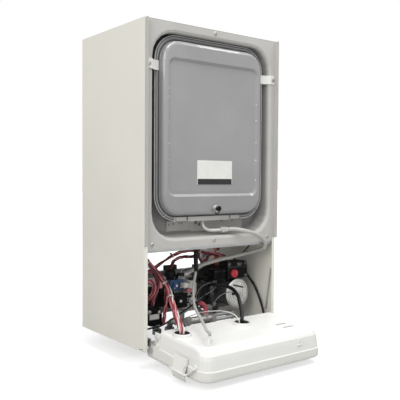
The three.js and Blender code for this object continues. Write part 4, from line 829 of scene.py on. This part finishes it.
# Dark plates of painted shade where the side panels have slots.
settle([flat_plate(5.5, 1.8, 0.8, 0.25, (-199.95, y, z), (-1, 0, 0)) for y, z in ((8.5, 5), (17, 4))],
       "side_panel_slot_shade", "dark plate")

# Top: screws, two sampling plugs and the flue's lip seal.
fasteners("top_screws", SCREW, UP, [(side * 180, y, 742) for side in SIDES for y in (22, 150, 278)])
fasteners("flue_collar_screws", SCREW, UP, [(x, y, 744.3) for x, y in circle(0, 173, 38.5, (0.8, 2.37, 3.94, 5.5))])
settle([disc((x, 120, 741.8), (x, 120, 748), 9, 1.4) for x in (-70, 70)]
       + [disc((x, 120, 747.5), (x, 120, 750), 5, 0.8, 6) for x in (-70, 70)],
       "sampling_plugs", "black moulding")
settle(ring((0, 173, 762.5), UP, 30.4, 1.7, 48), "flue_lip_seal", "rubber")

# Rear: pressed stiffening beads, screws and bolts.
settle([slab((x - 6, 295.2, 262), (x + 6, 298.2, 640), 1.4, 3) for x in (-150, -75, 75, 150)],
       "rear_wall_beads", "zinc")
fasteners("rear_screws", SCREW, REAR, [(side * 192.5, 300, z) for side in SIDES for z in (30, 200, 360, 520, 660, 735)])
fasteners("hanging_rail_bolts", BOLT, REAR, [(x, 300, 710) for x in (-160, -50, 50, 160)])
fasteners("cross_rail_screws", SCREW, REAR, [(x, 298.7, 114.5) for x in (-150, 0, 150)])

# Under the chamber: grommets where the wires leave, screws, and the cable ties.
settle([ring((x, y, 225.4), UP, r, 1.6)
        for x, y, r in ((-176, 56, 8), (-12.6, 58, 5.8), (52, 84, 6.4), (12, 86, 6), (150, 42, 3.6))],
       "floor_grommets", "rubber")
fasteners("floor_screws", SCREW, DOWN, [
    (x, y, 225.8) for x, y in ((-150, 20), (-60, 20), (60, 20), (150, 20), (-100, 150), (100, 150))])
fasteners("bracket_screw", BOLT, FRONT, [(41, 98, 216)])
settle([strap((-102, 66, 138), (0.35, -0.35, -0.9), 8.3), strap((-150, 69.5, 192), (0.75, 0.2, -0.65), 8.3),
        strap((-104, 36, 107.5), (-0.15, -0.7, -0.7), 8.3), strap((20, 88.7, 203.5), (1, 0, -0.2), 5.6),
        strap((-60, 92.5, 197.5), (0.8, -0.1, 0.45), 5.6), strap((77, 84.5, 201), (0.4, 0, -0.9), 5.1)],
       "cable_ties", "cable tie")

# ---------- pump, valves and connectors
pump_x, pump_z = 127, 88
settle(disc((pump_x, 60.1, pump_z), (pump_x, 59.6, pump_z), 33, 0.15, 48), "pump_face_disc", "bare plate")
dial_angles = [a for k, a in enumerate(even_angles(24)) if k % 6 != 5]
settle([ring((pump_x, 59.6, pump_z), FRONT, r, 0.4, 48) for r in (31, 18)]
       + [disc((x, 59.7, z), (x, 59.3, z), 1.2, 0.1, 10) for x, z in circle(pump_x, pump_z, 25.5, dial_angles)]
       + [flat_plate(36, 4.5, 1.5, 0.4, (pump_x + 1, 59.7, pump_z + 19), FRONT, -14)],
       "pump_face_marks", "dark can")
vent_screw = disc((pump_x, 59, pump_z), (pump_x, 54.6, pump_z), 8.6, 0.8, 40)
carve(vent_screw, slab((pump_x - 7, 53.5, pump_z - 0.9), (pump_x + 7, 55.8, pump_z + 0.9), 0))
settle(vent_screw, "pump_vent_screw", "turned aluminium")
settle([slab((106, 55.4, 86), (114, 59.6, 94), 0.8), slab((108, 53.4, 88), (112, 55.6, 92), 0.5)],
       "pump_wire_plug", "black moulding")
fasteners("pump_bolts", BOLT, FRONT, [(pump_x + 32.5 * sx, 118, pump_z + 32.5 * sz) for sx in SIDES for sz in SIDES])
fasteners("terminal_box_screws", SCREW, FRONT, [(97.5, 60, 166), (153.5, 60, 166), (153.5, 60, 133.5)],
          look="dark can")
settle([slab((93, 59.5, 157.5), (158, 60.3, 158.7), 0.3), slab((92, 59.5, 152), (96.5, 60.3, 153.2), 0.3),
        slab((124.6, 59.4, 161), (141, 60.3, 168.5), 0.5), slab((54, 65.4, 149), (91, 66.3, 150.4), 0.3)],
       "terminal_box_ridges", "dark can")
settle([disc((158.8, 78, 140), (165, 78, 140), 7, 0.8, 8), disc((164.5, 78, 140), (169, 77.4, 138.6), 5, 0.8)],
       "pump_cable_gland", "black moulding")

fasteners("gas_valve_bolts", BOLT, FRONT, [(x, 77, z) for x in (-25, -3) for z in (123.5, 109)]
          + [(-27, 80, 66), (-1, 80, 66), (-1, 80, 97)])
settle([slab((x, 76.4, 60), (x + 2.6, 80.4, 74), 0.5) for x in (-22, -14.5, -7)]
       + [slab((-48, 77.2, z), (-35, 80.4, z + 2.4), 0.5) for z in (79, 86, 93)]
       + [disc((-11, 76.4, 84), (-11, 73, 84), 6, 0.8, 6)],
       "gas_valve_ribs", "cast aluminium")
settle([slab((x, 74.5, z), (x + w, 77.6, z + h), 0.4) for x, z, w, h in (
            (-31, 99, 7, 4), (-14, 99, 9, 3), (-33, 88, 4, 8), (-19, 91, 5, 5), (-4, 88, 5, 7), (-30, 77, 9, 3.4),
            (-8, 103, 5, 4), (-32, 119, 4, 6))]
       + [disc((x, 77.6, z), (x, 73.6, z), r, 0.4, 20) for x, z, r in (
            (-26, 94, 2.6), (-9, 94, 2.2), (-14, 70, 3), (-2, 76, 2))],
       "gas_valve_ports", "black moulding")
settle([slab((-45, 62, 119), (-33.5, 79.5, 131), 0.8), slab((-43, 59.5, 121), (-35.5, 62.3, 129), 0.5),
        slab((-22, 66, 128.6), (-8, 76.6, 134), 0.6)], "valve_connector_white", "cable tie")
settle([slab((-33, 64, 106), (-19, 76.8, 116), 0.8), slab((-31, 61, 108), (-21, 64.3, 114), 0.5)],
       "valve_connector_pink", "pink connector")
settle([slab((-73.4, 78.6, z), (-34.1, 80.3, z + 1.6), 0.3) for z in (115, 133)]
       + [slab((x, 73.5, 118), (x + 6.5, 80.2, 122), 0.5) for x in (-71, -52)]
       + [disc((-60, 76.2, 125), (-60, 73.6, 125), 6.5, 0.7, 24)],
       "coil_mouldings", "blue moulding")
settle([disc((-60, 73.8, 125), (-60, 71.4, 125), 3.6, 0.5, 6), slab((-70, 69, 118.8), (-66.5, 73.8, 121.2), 0.4),
        slab((-51, 69, 118.8), (-47.5, 73.8, 121.2), 0.4)], "coil_core_nut", "screw steel")
settle([slab((-78.5, 60.2, z), (-38, 62, z + 2.4), 0.4) for z in (102, 74)]
       + [slab((-88, 64, 78), (-79.6, 76, 92), 0.8)], "solenoid_mouldings", "black moulding")
settle(disc((-58, 58.9, 89), (-58, 57, 89), 4.2, 0.6, 6), "solenoid_nut", "screw steel")

settle(flat_plate(27, 12.5, 1, 0.3, (-127, 70.1, 57.5), FRONT), "diverter_label_plate", "bare plate")
fasteners("diverter_screws", SCREW, FRONT, [(-140.6, 70.2, 69.9), (-111.7, 70.2, 66.5)])
settle([ring((-127, y, 58), REAR, 24.6, 0.7, 48) for y in (86, 96)]
       + [slab((-149, 68.5, 78), (-137, 72.4, 88), 0.8), slab((-107, 67.5, 37), (-99, 70.4, 48), 0.8)],
       "diverter_mouldings", "black moulding")
settle([slab((-120, 57, 127), (-113, 64, 138), 0.8), slab((-119, 58, 137), (-114, 63, 142), 0.6)],
       "harness_connector", "pink connector")
settle([disc((x, y, 143.5), (x, y, 155), 0.8, 0.2, 8) for x, y in circle(-53, 112, 13, even_angles(20))],
       "vent_cap_knurling", "dark composite", "air_vent_cap")
settle([ring((x, 190, -9.4), UP, 11.4, 0.9, 30) for x in (-127, -40, 0, 40, 127)], "tail_washers", "rubber")

# ---------- control box
FACE = -25.5          # the fascia's outer face, in the box's frame
DIAL_Y = -98
VENT_SLOTS = (-118, -143)


def box_part(pieces, name, look="white moulding"):
    settle(pieces, name, look, "control_box")


# The bead at the joint lies in the cover's own slope, which starts at y = -14.
joint_bead = rim_bead(176.5, -194.6, -13.2, 26.5, 0.9)
joint_bead.data.transform(Matrix.Translation((0, -14 * MM, 6.1 * MM)) @ Matrix.Rotation(atan(0.05), 4, "X")
                          @ Matrix.Translation((0, 14 * MM, 0)))
box_part(joint_bead, "cover_joint_bead")
fasteners("cover_screws", SCREW, lambda spot: (copysign(1, spot[0]), 0, 0.12),
          [(side * 177.6, y, z) for side in SIDES for y, z in ((-24, 9.5), (-165, 3))], "control_box",
          "white moulding")
box_part([slab((48, -150, 40.7), (49.2, -64, 41.25), 0.2), slab((48, -64.6, 40.7), (166, -63.4, 41.25), 0.2),
          slab((-95, -38, 40.7), (150, -36.8, 41.3), 0.2), slab((-95, -31, 40.7), (150, -29.8, 41.3), 0.2),
          slab((-168, -100.6, 40.7), (-100, -99.4, 41.25), 0.2)], "cover_seams")
slot_rims = fuse([flat_plate(37, 9.5, 3, 0.5, (111, y, 40.85), UP) for y in VENT_SLOTS])
for y in VENT_SLOTS:
    carve(slot_rims, slab((95, y - 2.6, 38), (127, y + 2.6, 43), 0))
box_part(slot_rims, "cover_slot_rims")
# The bars inside the vent slots are grey where the cover is white: painted shade in the slots.
box_part([slab((95 + 5.2 * k, y - 2.8, 39.6), (96.6 + 5.2 * k, y + 2.8, 40.9), 0.2)
          for k in range(7) for y in VENT_SLOTS], "cover_slot_shade_bars", "grey moulding")
box_part([slab((98, -193.2, 14), (100.4, -188, 26), 0.4), slab((93, -194, 12), (105.5, -190.5, 14), 0.4)],
         "cover_front_catch", "fascia moulding")
box_part([ring((x, GLAND_Y, 47), UP, 19.2, 1.1, 48) for x in (LEFT_GLAND, RIGHT_GLAND)], "collar_rims")
box_part([ring((x, GLAND_Y, 45.6), UP, r, t, 48) for x in (LEFT_GLAND, RIGHT_GLAND)
          for r, t in ((15.6, 1.1), (9.6, 0.9))], "gland_lips", "rubber")
box_part([ring((BOOT_X, BOOT_Y, z), UP, r, 0.7, 28) for z, r in ((52.4, 5.6), (55.6, 5), (58.8, 4.5))],
         "boot_rings")

# The cover's lugs at the rear corners, and the pads and screws beside the hinges.
box_part([slab((-176.5, -30, 24), (-173, -12, 37), 0.8), slab((-176.5, -14.4, 8), (-168, -12, 30), 0.6),
          slab((173, -30, 24), (176.5, -12, 37), 0.8)], "cover_rear_lugs")
pads = []
for side in SIDES:
    pads += [slab((side * 190.5, 5, 10), (side * 188.8, 22, 26), 0.4),
             disc((side * 189.4, 13, 18), (side * 191.5, 13, 18), 4.4, 0.4, 24)]
settle(pads, "hinge_pads", "grey moulding")
fasteners("hinge_screws", SCREW, lambda spot: (-spot[0], 0, 0),
          [(side * 196.4, 34, z) for side in SIDES for z in (12, 22)])

# Latch: the hook's spread wings, its ridge and ribs, and two slanting planks.
wings = [slab((-190.2, y, -18.6), (-181.5, y + 8, -15.8), 0.6) for y in (-150, -98)]
wings += [slab((-190.4, -150, -18.8), (-188.4, -90, -14.6), 0.7), slab((-189.9, -142, -14.8), (-187.6, -139.4, 4), 0.6),
          slab((-189.9, -100.6, -14.8), (-187.6, -98, 4), 0.6)]
wings += [slab((-184.5, y - 1.2, -33), (-180.6, y + 1.2, -19), 0.4) for y in (-134, -120, -106)]
for start, end, width in (((-186, -149, -17), (-183.5, -173, 3), 8), ((-189, -147, -17), (-189, -96, -17), 5)):
    run = Vector(end) - Vector(start)
    plank = slab((-width / 2, -0.9, 0), (width / 2, 0.9, run.length), 0.4)
    plank.data.transform(facing(start, run))
    wings.append(plank)
box_part(wings, "latch_ribs", "fascia moulding")


# Fascia's outer face: rings round the knobs, the button and the gauge, dials' ticks, and a bare strip.
def dial_tick(x, radius, angle, long, wide, corner, thick, z):
    """A tick on a dial's circle, which lies along the radius."""
    spot = Vector((x + radius * cos(angle), DIAL_Y + radius * sin(angle), z))
    tick = flat_plate(long, wide, corner, thick, spot, DOWN)
    there = Matrix.Translation(spot * MM)
    tick.data.transform(there @ Matrix.Rotation(angle, 4, "Z") @ there.inverted())
    return tick


KNOBS = {"water_temperature_knob": -96, "heating_temperature_knob": -30}
BUTTON_X, GAUGE_X = 44, 104
box_part([ring((x, DIAL_Y, FACE), DOWN, r, t, sides) for x, r, t, sides in (
    *((x, 25, 0.8, 48) for x in KNOBS.values()), (BUTTON_X, 11.5, 0.9, 40), (GAUGE_X, 24, 1, 48))],
         "fascia_rings", "grey moulding")
box_part([dial_tick(x, 29.5, radians(210 - 24 * k), 4.5 if k % 5 else 7, 1.3, 0.5, 0.3, FACE + 0.05)
          for x in KNOBS.values() for k in range(11)], "dial_ticks", "dark can")
box_part(flat_plate(300, 12, 4, 0.4, (0, -150, FACE + 0.1), DOWN), "fascia_bare_strip", "bare plate")
for knob, x in KNOBS.items():
    mark = slab((x - 0.8, -112.6, FACE - 17.3), (x + 0.8, -100, FACE - 16.7), 0.2)
    settle(mark, f"{knob}_mark", "cable tie", knob)
    feet, tips = (circle(x, DIAL_Y, r, even_angles(24)) for r in (17.4, 16.4))
    settle([disc((*foot, FACE - 2.6), (*tip, FACE - 11.5), 0.9, 0.2, 8) for foot, tip in zip(feet, tips)],
           f"{knob}_flutes", "grey moulding", knob)
box_part(disc((GAUGE_X, DIAL_Y, -28.6), (GAUGE_X, DIAL_Y, -29.2), 17.6, 0.1, 48), "gauge_dial", "dial face")
box_part([dial_tick(GAUGE_X, 14, radians(225 - 22.5 * k), 2.6 if k % 4 else 4.4, 0.7, 0.2, 0.2, -29.15)
          for k in range(13)]
         + [slab((103.5, DIAL_Y, -30.2), (104.5, -85, -29.7), 0.2),
            disc((GAUGE_X, DIAL_Y, -29), (GAUGE_X, DIAL_Y, -31), 2.2, 0.4, 24)],
         "gauge_needle", "dark plate")
fasteners("fascia_screws", SCREW, DOWN, [(side * 160, y, FACE) for side in SIDES for y in (-176, -20)], "control_box")

# Parts on the circuit board, under the cover.
box_part([slab((-130 + 12 * k, -58, 21.6), (-121 + 12 * k, -48, 33), 0.6) for k in range(3)]
         + [disc((-60 + 14 * k, -92, -4.2), (-60 + 14 * k, -92, 16), 5, 0.8, 20) for k in range(4)]
         + [slab((22 + 24 * k, -110, -4.2), (40 + 24 * k, -88, 12), 0.8) for k in range(3)],
         "board_relays", "dark can")

for pattern in (SCREW, BOLT):
    bpy.data.objects.remove(pattern)
